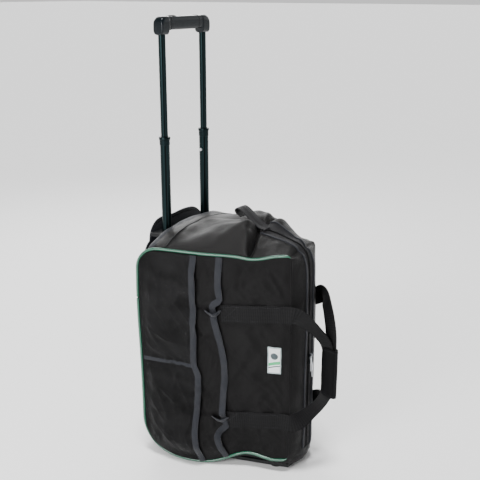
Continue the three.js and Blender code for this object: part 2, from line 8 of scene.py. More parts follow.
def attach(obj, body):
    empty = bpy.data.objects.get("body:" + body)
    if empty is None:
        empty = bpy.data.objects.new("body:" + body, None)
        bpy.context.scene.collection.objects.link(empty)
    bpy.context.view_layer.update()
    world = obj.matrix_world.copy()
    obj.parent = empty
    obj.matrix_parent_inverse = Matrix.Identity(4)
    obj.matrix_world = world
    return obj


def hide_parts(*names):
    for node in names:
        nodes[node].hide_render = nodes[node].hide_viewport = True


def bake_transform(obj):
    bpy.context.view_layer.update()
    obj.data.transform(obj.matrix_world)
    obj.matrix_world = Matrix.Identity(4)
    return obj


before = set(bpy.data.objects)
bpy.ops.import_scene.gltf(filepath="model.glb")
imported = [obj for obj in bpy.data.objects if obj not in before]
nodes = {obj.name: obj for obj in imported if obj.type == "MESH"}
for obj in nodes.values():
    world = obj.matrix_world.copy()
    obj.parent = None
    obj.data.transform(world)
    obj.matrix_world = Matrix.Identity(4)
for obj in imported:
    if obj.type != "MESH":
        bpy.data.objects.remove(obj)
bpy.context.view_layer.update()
print("frame loaded:", len(nodes), "nodes")

# Sizes are in millimetres, with Y = 0 on the line between the two tubes, and become metres in the meshes.
toMetres = 0.001
tubeLineY = 185.5

camera = dict(place=(-1440, -1133, 1058), lens=60.05, sensor=36, tiltDeg=72.664, turnDeg=-55.777)
light = dict(horizon=3.7, zenith=0.75, dimSide=0.10, floorLine=0.8, sun=3.6, sunSoftDeg=14, key=60, keySize=1.2,
             rim=30, floorHalf=60, floorShade=0.93)


def metres(point):
    x, y, z = point
    return (x * toMetres, (y + tubeLineY) * toMetres, z * toMetres)


def clamp(v, low=0.0, high=1.0):
    return max(low, min(high, v))


def lerp(a, b, t):
    return a + (b - a) * t


def smooth(v):
    v = clamp(v)
    return v * v * (3 - 2 * v)


def bump(v, middle, spread):
    return math.exp(-(((v - middle) / spread) ** 2))


# A smooth line through a few design points, given as (where, value).
def curveThrough(points):
    at = [p[0] for p in points]
    value = [p[1] for p in points]
    last = len(at) - 1
    slope = []
    for i in range(len(at)):
        a, b = max(i - 1, 0), min(i + 1, last)
        slope.append((value[b] - value[a]) / (at[b] - at[a]))

    def read(v):
        v = clamp(v, at[0], at[-1])
        i = 0
        while i < last - 1 and v > at[i + 1]:
            i += 1
        h = at[i + 1] - at[i]
        t = (v - at[i]) / h
        return ((2 * t ** 3 - 3 * t ** 2 + 1) * value[i] + (t ** 3 - 2 * t ** 2 + t) * h * slope[i]
                + (3 * t ** 2 - 2 * t ** 3) * value[i + 1] + (t ** 3 - t ** 2) * h * slope[i + 1])
    return read


class Wire:
    def __init__(self, shader, out):
        self.shader, self.out = shader, out

    def sum(self, how, a, b=None):
        return self.shader.node("ShaderNodeMath", dict(operation=how), {0: a} if b is None else {0: a, 1: b})

    def __add__(self, b): return self.sum("ADD", self, b)
    def __radd__(self, b): return self.sum("ADD", b, self)
    def __sub__(self, b): return self.sum("SUBTRACT", self, b)
    def __rsub__(self, b): return self.sum("SUBTRACT", b, self)
    def __mul__(self, b): return self.sum("MULTIPLY", self, b)
    def __rmul__(self, b): return self.sum("MULTIPLY", b, self)
    def __truediv__(self, b): return self.sum("DIVIDE", self, b)
    def __pow__(self, b): return self.sum("POWER", self, b)
    def sin(self): return self.sum("SINE", self)
    def abs(self): return self.sum("ABSOLUTE", self)
    def above(self, b): return self.sum("GREATER_THAN", self, b)
    def atMost(self, b): return self.sum("MINIMUM", self, b)
    def atLeast(self, b): return self.sum("MAXIMUM", self, b)
    def fract(self): return self.sum("FRACT", self)
    def floor(self): return self.sum("FLOOR", self)


class Finish:
    def __init__(self, name, **fixed):
        self.material = bpy.data.materials.new(name)
        self.material.use_nodes = True
        self.tree = self.material.node_tree
        self.skin = next(n for n in self.tree.nodes if n.type == "BSDF_PRINCIPLED")
        for socket, value in fixed.items():
            self.skin.inputs[socket.replace("_", " ")].default_value = value

    def node(self, kind, settings=None, sockets=None, out=0):
        made = self.tree.nodes.new(kind)
        for key, value in (settings or {}).items():
            if key == "stops":
                ramp = made.color_ramp
                while len(ramp.elements) < len(value):
                    ramp.elements.new(0.5)
                for element, (where, color) in zip(ramp.elements, value):
                    element.position = where
                    element.color = (*color, 1) if len(color) == 3 else color
            else:
                setattr(made, key, value)
        for key, value in (sockets or {}).items():
            if isinstance(value, Wire):
                self.tree.links.new(value.out, made.inputs[key])
            else:
                made.inputs[key].default_value = value
        return Wire(self, made.outputs[out])

    def uv(self):
        split = self.node("ShaderNodeSeparateXYZ", {}, {0: self.node("ShaderNodeUVMap", dict(uv_map="flat"))})
        return split, Wire(self, split.out.node.outputs[1])

    def place(self):
        return self.node("ShaderNodeTexCoord", out="Object")

    def noise(self, scale, detail=2.0, rough=0.5, on=None):
        vector = on or self.place()
        return self.node("ShaderNodeTexNoise", {}, {"Vector": vector, "Scale": scale, "Detail": detail,
                                                    "Roughness": rough}, "Fac")

    def mix(self, mask, a, b):
        made = self.tree.nodes.new("ShaderNodeMix")
        made.data_type = "RGBA"
        for socket, value in ((made.inputs[0], mask), (made.inputs[6], a), (made.inputs[7], b)):
            if isinstance(value, Wire):
                self.tree.links.new(value.out, socket)
            else:
                socket.default_value = (*value, 1) if isinstance(value, tuple) and len(value) == 3 else value
        return Wire(self, made.outputs[2])

    def feed(self, socket, wire):
        self.tree.links.new(wire.out, self.skin.inputs[socket])

    def relief(self, height, distance, strength=0.6):
        sockets = {"Height": height, "Distance": distance, "Strength": strength}
        made = self.node("ShaderNodeBump", {}, sockets, "Normal")
        self.feed("Normal", made)


# Woven cloth: two sets of threads that pass over and under each other.
def wovenCloth(name, dark, pale, pitch, roughness, sheen=0.03, relief=0.00035, worn=0.25, gloss=0.13):
    f = Finish(name, Sheen_Weight=sheen, Sheen_Roughness=0.4, Specular_IOR_Level=gloss)
    u, v = f.uv()
    turn = math.pi / pitch
    over = ((u * (1 / pitch)).floor() + (v * (1 / pitch)).floor()) * 0.5
    pick = (over.fract() * 2).above(0.5)
    threads = (u * turn).sin().abs() * pick + (v * turn).sin().abs() * (1 - pick)
    cloud = f.noise(9, 3)
    slub = f.noise(260, 2)
    shade = (threads * 0.55 + slub * 0.45) * (1 - worn) + cloud * worn
    rubbed = f.noise(5, 4, 0.65)
    f.feed("Base Color", f.mix(shade * 0.75 + rubbed * 0.25, dark, pale))
    f.feed("Roughness", shade * -0.12 + (roughness + 0.16) - rubbed * 0.2)
    f.relief(threads * 0.8 + slub * 0.5, relief)
    return f.material


def ribbedWebbing(name, dark, pale, pitch, roughness):
    f = Finish(name, Sheen_Weight=0.02, Sheen_Roughness=0.4, Specular_IOR_Level=0.09)
    u, v = f.uv()
    ribs = (v * (math.pi / pitch)).sin().abs()
    cords = (u * (math.pi / (pitch * 1.7))).sin().abs()
    fuzz = f.noise(420, 2)
    shade = ribs * 0.6 + cords * 0.2 + fuzz * 0.2
    f.feed("Base Color", f.mix(shade, dark, pale))
    f.feed("Roughness", roughness - ribs * 0.1)
    f.relief(ribs * 0.8 + cords * 0.3, 0.0006, 0.8)
    return f.material


# Knitted net: rows of six-sided holes, each row half a step along; the long slanted lighter streaks in its colour are
# painted highlights.
def knittedNet(name, dark, pale, pitch):
    f = Finish(name, Roughness=0.46, Sheen_Weight=0.04, Specular_IOR_Level=0.11)
    u, v = f.uv()
    row = (v * (1 / pitch)).floor()
    shift = (row * 0.5).fract()
    across = (u * (1 / (pitch * 1.15)) + shift).fract() - 0.5
    along = (v * (1 / pitch)).fract() - 0.5
    far = (across * across + along * along) ** 0.5
    yarn = far.above(0.36)
    slant = {"Vector": f.place(), "Rotation": (0.6, 0.0, 0.0), "Scale": (6, 9, 26)}
    stretched = f.node("ShaderNodeMapping", {}, slant)
    # Painted highlight: slanted pale streaks mixed into the base colour stand in for sheen on the net's wrinkles.
    paintedSheenStreaks = (f.noise(1.0, 3, 0.55, stretched) - 0.5) * 2.2 + 0.34
    f.feed("Base Color", f.mix(paintedSheenStreaks.atLeast(0.0).atMost(1.0), dark, pale))
    f.feed("Alpha", yarn * 0.93 + 0.07)
    f.relief(far, 0.0006, 0.7)
    return f.material


def mouldedPlastic(name, color, roughness, grain=900, coat=0.0, relief=0.00012, gloss=0.2):
    f = Finish(name, Coat_Roughness=0.12, Specular_IOR_Level=gloss)
    fine = f.noise(grain, 2)
    cloud = f.noise(14, 3)
    lighter = tuple(c * 1.5 + 0.004 for c in color)
    f.feed("Base Color", f.mix(cloud, color, lighter))
    f.feed("Roughness", cloud * 0.14 + (roughness - 0.07))
    if coat:
        f.feed("Coat Weight", cloud * 0.2 + coat)
    f.relief(fine, relief, 0.5)
    return f.material


def drawnMetal(name, color, roughness, along=(60, 60, 3)):
    f = Finish(name, Metallic=1.0)
    stretched = f.node("ShaderNodeMapping", {}, {"Vector": f.place(), "Scale": along})
    streaks = f.noise(12, 3, on=stretched)
    smears = f.noise(9, 3)
    lighter = tuple(min(1, c * 1.5 + 0.01) for c in color)
    f.feed("Base Color", f.mix(streaks, color, lighter))
    f.feed("Roughness", streaks * 0.14 + smears * 0.1 + (roughness - 0.1))
    f.relief(streaks, 0.00006, 0.5)
    return f.material


# Anodised tube: pale bands with grooves between them, which run its whole length; the dark colour in the grooves is
# painted shade, and the thin lighter line beside each groove is a painted highlight.
def railMetal(name, band, groove, roughness):
    f = Finish(name, Metallic=0.85, Specular_IOR_Level=0.4)
    u, v = f.uv()
    turn = (u * 4).fract() - 0.5
    # Painted shade: this groove mask darkens the colour inside the grooves.
    line = 1 - (turn.abs() * 9).atMost(1)
    # Painted highlight: a thin lighter line just beside each groove.
    edge = 1 - ((turn.abs() - 0.22).abs() * 30).atMost(1)
    streaks = f.noise(900, 2)
    base = f.mix(streaks * 0.6, band, tuple(c * 1.6 for c in band))
    base = f.mix((line * 1.6).atMost(1), base, groove)
    f.feed("Base Color", f.mix(edge * 0.5, base, tuple(min(1.0, c * 4) for c in band)))
    f.feed("Roughness", streaks * 0.12 + (roughness - 0.06) + line * 0.15)
    f.relief(streaks, 0.00005, 0.4)
    return f.material


def glossyPiping(name, color, lighter):
    f = Finish(name, Specular_IOR_Level=0.6, Coat_Roughness=0.2)
    u, v = f.uv()
    twist = (v * 900 + u * 500).sin().abs()
    cloud = f.noise(40, 3)
    f.feed("Base Color", f.mix(twist * 0.35 + cloud * 0.5, color, lighter))
    f.feed("Roughness", cloud * 0.2 + 0.24)
    f.feed("Coat Weight", cloud * 0.3 + 0.3)
    f.relief(twist, 0.0002, 0.4)
    return f.material


# A plain maker's patch without words: a ball above a lane stripe, inside a stitched border.
def patchFinish(name, size):
    f = Finish(name, Roughness=0.55, Sheen_Weight=0.2)
    u, v = f.uv()
    wide, tall = size
    across, up = u * (1 / wide), v * (1 / tall)
    ball = 1 - (((u - wide * 0.5) ** 2 + (v - tall * 0.66) ** 2) ** 0.5).above(wide * 0.27)
    stripe = ((up - 0.32 - across * 0.12).abs() * -1 + 0.055).above(0)
    second = ((up - 0.2 - across * 0.12).abs() * -1 + 0.02).above(0)
    edge = ((across - 0.5).abs().above(0.42) + (up - 0.5).abs().above(0.455)).atMost(1)
    weave = (v * (math.pi / 0.0006)).sin().abs()
    base = f.mix(weave, (0.62, 0.66, 0.68), (0.85, 0.87, 0.88))
    base = f.mix(ball, base, (0.03, 0.05, 0.06, 1))
    base = f.mix(stripe, base, (0.04, 0.42, 0.16, 1))
    base = f.mix(second, base, (0.05, 0.08, 0.09, 1))
    f.feed("Base Color", f.mix(edge, base, (0.35, 0.42, 0.42, 1)))
    f.relief(weave + edge, 0.0004, 0.6)
    return f.material


finish = dict(
    cloth=wovenCloth("bagCloth", (0.0016, 0.0015, 0.0015, 1), (0.0085, 0.0080, 0.0084, 1), 0.0009, 0.36,
                     gloss=0.075),
    topCloth=wovenCloth("topCloth", (0.0018, 0.0016, 0.0016, 1), (0.0076, 0.0070, 0.0070, 1), 0.0009, 0.40,
                        0.03, gloss=0.17),
    lining=wovenCloth("liningCloth", (0.008, 0.009, 0.0115, 1), (0.032, 0.036, 0.045, 1), 0.0006, 0.42, 0.05),
    foam=wovenCloth("foamCloth", (0.012, 0.0125, 0.014, 1), (0.03, 0.031, 0.034, 1), 0.0018, 0.9, 0.15, 0.0006),
    tape=wovenCloth("bindingTape", (0.0070, 0.0075, 0.0095, 1), (0.027, 0.029, 0.036, 1), 0.0006, 0.42, 0.12),
    wrap=wovenCloth("wrapCloth", (0.0014, 0.0014, 0.0017, 1), (0.0040, 0.0040, 0.0046, 1), 0.0008, 0.45,
                    0.01, gloss=0.06),
    webbing=ribbedWebbing("webbingRibs", (0.0012, 0.0012, 0.0013, 1), (0.0088, 0.0086, 0.0092, 1), 0.0050, 0.5),
    zipTape=ribbedWebbing("zipTapeRibs", (0.0070, 0.0070, 0.0078, 1), (0.031, 0.0305, 0.0325, 1), 0.0010, 0.5),
    net=knittedNet("netKnit", (0.0020, 0.0020, 0.0022, 1), (0.0115, 0.0112, 0.0120, 1), 0.0021),
    piping=glossyPiping("pipingGloss", (0.0, 0.040, 0.019, 1), (0.0, 0.124, 0.062, 1)),
    thread=mouldedPlastic("threadPlain", (0.022, 0.022, 0.025), 0.6),
    grip=mouldedPlastic("gripGloss", (0.0008, 0.0028, 0.0044), 0.24, 500, 0.0, 0.00005, 0.2),
    plastic=mouldedPlastic("plasticGrain", (0.0035, 0.004, 0.0046), 0.5),
    zipPlastic=mouldedPlastic("zipNylon", (0.0065, 0.0065, 0.0072), 0.36),
    rubber=mouldedPlastic("wheelRubber", (0.006, 0.006, 0.006), 0.82, 500, 0.0, 0.0003),
    hub=mouldedPlastic("hubPlastic", (0.02, 0.022, 0.026), 0.45),
    rail=railMetal("railAnodised", (0.0040, 0.0105, 0.0115), (0.0004, 0.0008, 0.0009), 0.32),
    railPlain=drawnMetal("railPlain", (0.0035, 0.0085, 0.0095), 0.36),
    steel=drawnMetal("steelBrushed", (0.42, 0.43, 0.45), 0.3),
    zipMetal=drawnMetal("zipPlated", (0.05, 0.055, 0.06), 0.3, (30, 30, 30)),
)
patchSize = (0.030, 0.063)
finish["patch"] = patchFinish("wovenPatch", patchSize)
print("finishes made:", len(finish))


def addObject(name, mesh, look):
    made = bpy.data.objects.new(name, mesh)
    bpy.context.scene.collection.objects.link(made)
    mesh.materials.append(finish[look])
    made["look"] = look
    return made


# Hangs a finished piece on its body, and hides the CAD nodes it stands for.
def fit(piece, body, stands=()):
    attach(piece, body)
    if stands:
        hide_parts(*stands)
    return piece


def shade(mesh, degrees=40):
    for polygon in mesh.polygons:
        polygon.use_smooth = True
    mesh.set_sharp_from_angle(angle=math.radians(degrees))


# A closed cloth piece from a grid of points (rows, columns, 3) in millimetres, with a wall to one side.
def clothPiece(name, grid, look, thick=1.2, uvSize=None, wrapAround=False):
    rows, cols = grid.shape[:2]
    step0 = np.gradient(grid, axis=0)
    step1 = np.gradient(grid, axis=1)
    if wrapAround:
        step0 = (np.roll(grid, -1, 0) - np.roll(grid, 1, 0)) / 2
    normal = np.cross(step0, step1)
    normal /= np.linalg.norm(normal, axis=2, keepdims=True) + 1e-9
    under = grid - normal * thick
    points = np.concatenate([grid.reshape(-1, 3), under.reshape(-1, 3)])
    half = rows * cols
    faces = []
    rowRange = rows if wrapAround else rows - 1

    def at(r, c):
        return (r % rows) * cols + c
    for r in range(rowRange):
        for c in range(cols - 1):
            faces.append((at(r, c), at(r + 1, c), at(r + 1, c + 1), at(r, c + 1)))
            faces.append((half + at(r, c), half + at(r, c + 1), half + at(r + 1, c + 1), half + at(r + 1, c)))
        faces.append((at(r, 0), half + at(r, 0), half + at(r + 1, 0), at(r + 1, 0)))
        faces.append((at(r, cols - 1), at(r + 1, cols - 1), half + at(r + 1, cols - 1), half + at(r, cols - 1)))
    if not wrapAround:
        for c in range(cols - 1):
            faces.append((at(0, c), at(0, c + 1), half + at(0, c + 1), half + at(0, c)))
            faces.append((at(rows - 1, c), half + at(rows - 1, c), half + at(rows - 1, c + 1), at(rows - 1, c + 1)))
    mesh = bpy.data.meshes.new(name)
    mesh.from_pydata([metres(p) for p in points], [], faces)
    lengthRow = np.linalg.norm(np.diff(grid, axis=0), axis=2).mean(axis=1)
    lengthCol = np.linalg.norm(np.diff(grid, axis=1), axis=2).mean(axis=0)
    alongRow = np.concatenate([[0], np.cumsum(lengthRow)]) * toMetres
    alongCol = np.concatenate([[0], np.cumsum(lengthCol)]) * toMetres
    if uvSize:
        alongRow = alongRow / alongRow[-1] * uvSize[1]
        alongCol = alongCol / alongCol[-1] * uvSize[0]
    layer = mesh.uv_layers.new(name="flat")
    loops = np.zeros(len(mesh.loops), np.int32)
    mesh.loops.foreach_get("vertex_index", loops)
    loops %= half
    flat = np.stack([alongCol[loops % cols], alongRow[loops // cols]], axis=1).astype(np.float32)
    layer.data.foreach_set("uv", flat.ravel())
    turnOutward(mesh)
    shade(mesh, 60)
    return addObject(name, mesh, look)


def turnOutward(mesh):
    work = bmesh.new()
    work.from_mesh(mesh)
    bmesh.ops.remove_doubles(work, verts=work.verts, dist=1e-6)
    bmesh.ops.recalc_face_normals(work, faces=work.faces)
    if work.calc_volume(signed=True) < 0:
        bmesh.ops.reverse_faces(work, faces=work.faces)
    work.to_mesh(mesh)
    work.free()


def gridOf(surface, rows, cols):
    points = [[surface(c / (cols - 1), r / (rows - 1)) for c in range(cols)] for r in range(rows)]
    return np.array(points, dtype=float)


# A round or flat section swept along points, with closed ends; section is a list of (across, out) pairs.
def sweep(name, path, section, look, across=None, closed=False, taper=None, narrow=None):
    path = [Vector(p) for p in path]
    count, sides = len(path), len(section)
    points, alongUv = [], [0.0]
    for i, p in enumerate(path):
        ahead = path[(i + 1) % count] if closed or i < count - 1 else p
        behind = path[i - 1] if closed or i > 0 else p
        way = (ahead - behind).normalized()
        side = Vector(across(i) if callable(across) else across or (0, 0, 1))
        side = (side - way * side.dot(way)).normalized()
        up = way.cross(side)
        size = taper(i / (count - 1)) if taper else 1.0
        wide, high = narrow(i) if narrow else (size, size)
        points += [p + side * a * wide + up * b * high for a, b in section]
        if i:
            alongUv.append(alongUv[-1] + (p - path[i - 1]).length * toMetres)
    faces = []
    for i in range(count if closed else count - 1):
        j = (i + 1) % count
        for k in range(sides):
            m = (k + 1) % sides
            faces.append((i * sides + k, i * sides + m, j * sides + m, j * sides + k))
    if not closed:
        faces.append(tuple(range(sides)))
        faces.append(tuple((count - 1) * sides + k for k in reversed(range(sides))))
    mesh = bpy.data.meshes.new(name)
    mesh.from_pydata([metres(p) for p in points], [], faces)
    layer = mesh.uv_layers.new(name="flat")
    ring = [0.0]
    for k in range(1, sides):
        ring.append(ring[-1] + math.dist(section[k], section[k - 1]) * toMetres)
    for loop in mesh.loops:
        i, k = divmod(loop.vertex_index, sides)
        layer.data[loop.index].uv = (ring[k], alongUv[i])
    turnOutward(mesh)
    shade(mesh, 50)
    return addObject(name, mesh, look)


def roundSection(radius, sides=12):
    turns = [2 * math.pi * k / sides for k in range(sides)]
    return [(radius * math.cos(turn), radius * math.sin(turn)) for turn in turns]


def tapeSection(wide, thick, crown=0.0):
    half = wide / 2
    top = [(half * x, thick / 2 + crown * (1 - x * x)) for x in (-1, -0.96, -0.5, 0, 0.5, 0.96, 1)]
    return top + [(half * x, -thick / 2) for x in (1, 0.5, 0, -0.5, -1)]


# A turned piece: profile of (radius, height) pairs about an upright axis, or along X when lying.
def turned(name, centre, profile, look, sides=48, lying=False, flutes=None):
    points, faces = [], []
    count = len(profile)
    for k in range(sides):
        angle = 2 * math.pi * k / sides
        for r, h in profile:
            radius = r * (flutes(angle, r) if flutes else 1.0)
            a, b = radius * math.cos(angle), radius * math.sin(angle)
            spot = (h, a, b) if lying else (a, b, h)
            points.append(tuple(c + s for c, s in zip(centre, spot)))
    for k in range(sides):
        n = (k + 1) % sides
        for i in range(count):
            j = (i + 1) % count
            faces.append((k * count + i, n * count + i, n * count + j, k * count + j))
    mesh = bpy.data.meshes.new(name)
    mesh.from_pydata([metres(p) for p in points], [], faces)
    layer = mesh.uv_layers.new(name="flat")
    for polygon in mesh.polygons:
        k = polygon.index // count
        for loop in polygon.loop_indices:
            ring, i = divmod(mesh.loops[loop].vertex_index, count)
            layer.data[loop].uv = ((k + (ring != k)) / sides, profile[i][1] * toMetres)
    turnOutward(mesh)
    shade(mesh, 35)
    return addObject(name, mesh, look)


# Closed solids from a grid of points that wraps in both directions, or in one with closed poles.
def loopSolid(name, grid, look, closeCols=True):
    rows, cols = grid.shape[:2]
    faces = []
    for r in range(rows):
        for c in range(cols if closeCols else cols - 1):
            a, b = r * cols, (r + 1) % rows * cols
            faces.append((a + c, b + c, b + (c + 1) % cols, a + (c + 1) % cols))
    mesh = bpy.data.meshes.new(name)
    mesh.from_pydata([metres(p) for p in grid.reshape(-1, 3)], [], faces)
    layer = mesh.uv_layers.new(name="flat")
    for loop in mesh.loops:
        x, y, z = mesh.vertices[loop.vertex_index].co
        layer.data[loop.index].uv = (x + z * 0.4, y + z * 0.6)
    work = bmesh.new()
    work.from_mesh(mesh)
    bmesh.ops.remove_doubles(work, verts=work.verts, dist=1e-6)
    bmesh.ops.dissolve_degenerate(work, dist=1e-7, edges=work.edges)
    work.to_mesh(mesh)
    work.free()
    turnOutward(mesh)
    shade(mesh, 45)
    return addObject(name, mesh, look)


def tubeSolid(name, grid, look):
    rows, cols = grid.shape[:2]
    faces = [(r * cols + c, (r + 1) * cols + c, (r + 1) * cols + (c + 1) % cols, r * cols + (c + 1) % cols)
             for r in range(rows - 1) for c in range(cols)]
    faces += [tuple(range(cols)), tuple((rows - 1) * cols + c for c in reversed(range(cols)))]
    mesh = bpy.data.meshes.new(name)
    mesh.from_pydata([metres(p) for p in grid.reshape(-1, 3)], [], faces)
    turnOutward(mesh)
    shade(mesh, 45)
    return addObject(name, mesh, look)


side = dict(backHalf=165, frontHalf=60, depth=325, length=341.5, back=-6, roundTop=46, roundLow=88, roundFront=10)
stepX, stepY = (side["backHalf"] - side["frontHalf"]) / side["length"], -side["depth"] / side["length"]
outX, outY = stepY, -stepX
topEdge = curveThrough([(-8, 512), (60, 512), (138, 510), (215, 511), (250, 508), (275, 511), (306, 519), (342, 524)])
lowEdge = curveThrough([(-8, 8), (75, 7), (120, 6), (160, 8), (195, 19), (224, 33), (252, 38), (285, 33), (306, 30),
                        (342, 35)])


def cornerCut(distance, radius):
    return 0 if distance >= radius else radius - math.sqrt(max(0, radius ** 2 - (radius - max(distance, 0)) ** 2))


def sideLimits(u):
    fromBack, fromFront = u - side["back"], side["length"] - u
    low = lowEdge(u) + cornerCut(fromBack, side["roundLow"]) + cornerCut(fromFront, side["roundFront"])
    top = topEdge(u) - cornerCut(fromBack, side["roundTop"]) - cornerCut(fromFront, side["roundFront"])
    return low, top


def wave(x, y, seed):
    return noise.noise(Vector((x, y, seed)))


# How far the side stands out of its plane: full in the middle, slumped near the floor.
def sideBulge(u, z, hand):
    seed = 3.1 if hand < 0 else 9.4
    full = 7 * math.sin(math.pi * clamp(u / side["length"])) * math.sin(math.pi * clamp((z - 15) / 490))
    slump = 22 * bump(u, 118, 72) * bump(z, 42, 62)
    tuck = -5 * bump(u, 262, 34) * bump(z, 500, 26) - 4 * bump(u, 250, 40) * bump(z, 62, 24)
    rim = smooth((z - 12) / 30) * smooth((512 - z) / 30) * smooth((u + 4) / 20) * smooth((340 - u) / 14)
    soft = 4.0 * wave(u / 95, z / 75, seed) + 2.2 * wave(u / 38, z / 46, seed + 4)
    return full + slump + (tuck + soft) * rim


# Creases that pull from the strap ends and run across the cloth.
def creases(u, z, seed, size=1.0):
    drag = wave((u + 0.6 * z) / 34, (z - 0.5 * u) / 105, seed)
    fine = wave((u - 0.9 * z) / 17, (z + 0.4 * u) / 60, seed + 2)
    rim = smooth((z - 20) / 40) * smooth((506 - z) / 26) * smooth((u - 2) / 26) * smooth((338 - u) / 20)
    pull = 1.7 * bump(u, 258, 56) * bump(z, 462, 38) + bump(u, 245, 60) * bump(z, 258, 52)
    fan = wave((u - 0.25 * z) / 26, (z + 0.3 * u) / 88, seed + 5)
    return size * (2.9 * (1 - abs(drag)) ** 4 + 1.3 * fine - 1.1 + 3.4 * pull * (0.6 + fan)) * rim


def sideSkin(u, z, hand=-1, lift=0.0):
    off = sideBulge(u, z, hand) + creases(u, z, 1.7 if hand < 0 else 6.2) + lift
    u -= 5 * bump(z, 395, 130) * smooth(1 - u / 80)
    if hand > 0:
        u -= 7 * smooth((u - 240) / 100)
        off -= 6.5 * smooth((u - 230) / 100)
    x = -side["backHalf"] + stepX * u + outX * off
    return (x if hand < 0 else -x, stepY * u + outY * off, z)


# The band of cloth over the top, down the front and under the bag: k runs along it, s across it from seam to seam.
seamU = curveThrough([(0, 21), (1, 84), (2, 158), (3, 225), (4, 252), (5, 276), (6, 307), (7, 334), (8, 341.4),
                      (14, 341.4), (15, 338), (16, 315), (17, 275), (18, 225), (19, 168), (20, 56)])
seamZ = curveThrough([(6.9, 560), (8, 516), (9, 480), (10, 400), (11, 300), (12, 200), (13, 100), (14, 52), (15, 20)])
zipRun = [(-20, 548), (-80, 555), (-150, 560), (-206, 554), (-238, 551), (-266, 546), (-296, 538), (-320, 529),
          (-333, 508), (-338, 470), (-339.5, 400), (-340, 300), (-340.5, 200), (-340.5, 100), (-340.5, 56),
          (-338, 22), (-318, 4.6), (-262, 4), (-214, 4), (-160, 4.5), (-52, 6)]
zipY = curveThrough([(i, p[0]) for i, p in enumerate(zipRun)])
zipZ = curveThrough([(i, p[1]) for i, p in enumerate(zipRun)])
band = dict(flapStart=3.3, corner=7.75, flapEnd=14.25, end=20, mouth=15.5, mouthTop=6.5)


def seamPoint(k, hand):
    u = seamU(k)
    low, top = sideLimits(u)
    z = top if k < 7 else low if k > 15 else clamp(seamZ(k), low, top)
    return sideSkin(u, z, hand)


def bandNormal(k):
    dy, dz = zipY(k + 0.06) - zipY(k - 0.06), zipZ(k + 0.06) - zipZ(k - 0.06)
    size = math.hypot(dy, dz) or 1
    return dz / size, -dy / size


def bandSkin(k, s, lift=0.0):
    hand = -1 if s < 0 else 1
    a = 1 - abs(s)
    ex, ey, ez = seamPoint(k, hand)
    power = lerp(0.62, 0.95, smooth((k - 4) / 4)) if k < 14.4 else lerp(0.95, 0.42, smooth((k - 14.4) / 1.4))
    rise = math.sin(math.pi / 2 * a) ** power
    ny, nz = bandNormal(k)
    seed = 2.3 if hand < 0 else 8.8
    pillow = smooth((k - 0.9) / 1.5) * (1 - smooth((k - 3.6) / 2.4))
    if hand < 0:
        pillow *= 1 - 1.15 * smooth((k - 2.9) / 0.8)
    out = (20 if hand < 0 else 23) * pillow * math.sin(math.pi * a) ** 1.3
    fan = math.atan2(max(0.0, 3.4 - k), abs(s) * 1.5 + 0.05)
    near = smooth(k / 1.2) * (1 - smooth((k - 3.0) / 0.4)) * math.sin(math.pi * a) ** 0.8
    out += (4.2 if hand < 0 else 2.6) * math.cos(fan * 8.5 + wave(k * 1.3, s * 3, seed) * 2.2) * near
    valleyAt = lerp(3.9, 3.05, a)
    out -= (25 if hand < 0 else 11) * bump(k, valleyAt, 0.20) * math.sin(math.pi * clamp(a)) ** 0.7
    out += (11 if hand < 0 else 3) * bump(k, valleyAt - 0.62, 0.36) * math.sin(math.pi * a)
    out -= 8 * bump(k, 7.1, 0.5) * math.sin(math.pi * a) ** 0.8
    front = smooth((k - 8) / 1.0) * (1 - smooth((k - 14) / 1.0))
    out += front * 2.5 * math.sin(math.pi * a) * (1 + wave(k * 1.1, s * 2, seed))
    soft = 3.4 * wave(ex * s / 52, k * 1.15, seed) + 1.6 * wave(ex * s / 24, k * 2.6, seed + 3)
    out = (out + soft * math.sin(math.pi * a) * (1 - 0.6 * front)) * (1 - smooth((k - 14.4) / 0.8)) + lift
    return (abs(ex) * s, lerp(ey, zipY(k), rise) + ny * out, max(lerp(ez, zipZ(k), rise) + nz * out, 1.2))


def seamHalf(k):
    return abs(seamPoint(k, -1)[0])


# How far the edge of the cloth stands back from the middle of the zip.
def mouthAt(k):
    return band["mouth"] + band["mouthTop"] * smooth(1.15 - abs(k - 4.9) / 2.4)


def bandGrid(k0, k1, side0, side1, rows, cols, lift=0.0):
    def at(c, r):
        k = lerp(k0, k1, r)
        return bandSkin(k, lerp(side0(k), side1(k), c), lift)
    return gridOf(at, rows, cols)


# A smooth run of points at even steps through the given ones.
def evenly(points, step):
    points = np.array(points, float)
    far = np.concatenate([[0], np.cumsum(np.linalg.norm(np.diff(points, axis=0), axis=1))])
    count = max(3, int(round(far[-1] / step)) + 1)
    at = np.linspace(0, far[-1], count)
    return [tuple(np.interp(t, far, points[:, i]) for i in range(3)) for t in at]


def splineThrough(knots, step=3.0):
    reads = [curveThrough([(i, k[axis]) for i, k in enumerate(knots)]) for axis in range(3)]
    fine = [tuple(read(t) for read in reads) for t in np.linspace(0, len(knots) - 1, 12 * len(knots))]
    return evenly(fine, step)


def areaOf(piece):
    work = bmesh.new()
    work.from_mesh(piece.data)
    area = sum(face.calc_area() for face in work.faces) / 2
    work.free()
    return area


def declareSheet(piece, wide, long):
    area = min(areaOf(piece), wide * long * toMetres ** 2)


print("shape of the body ready")

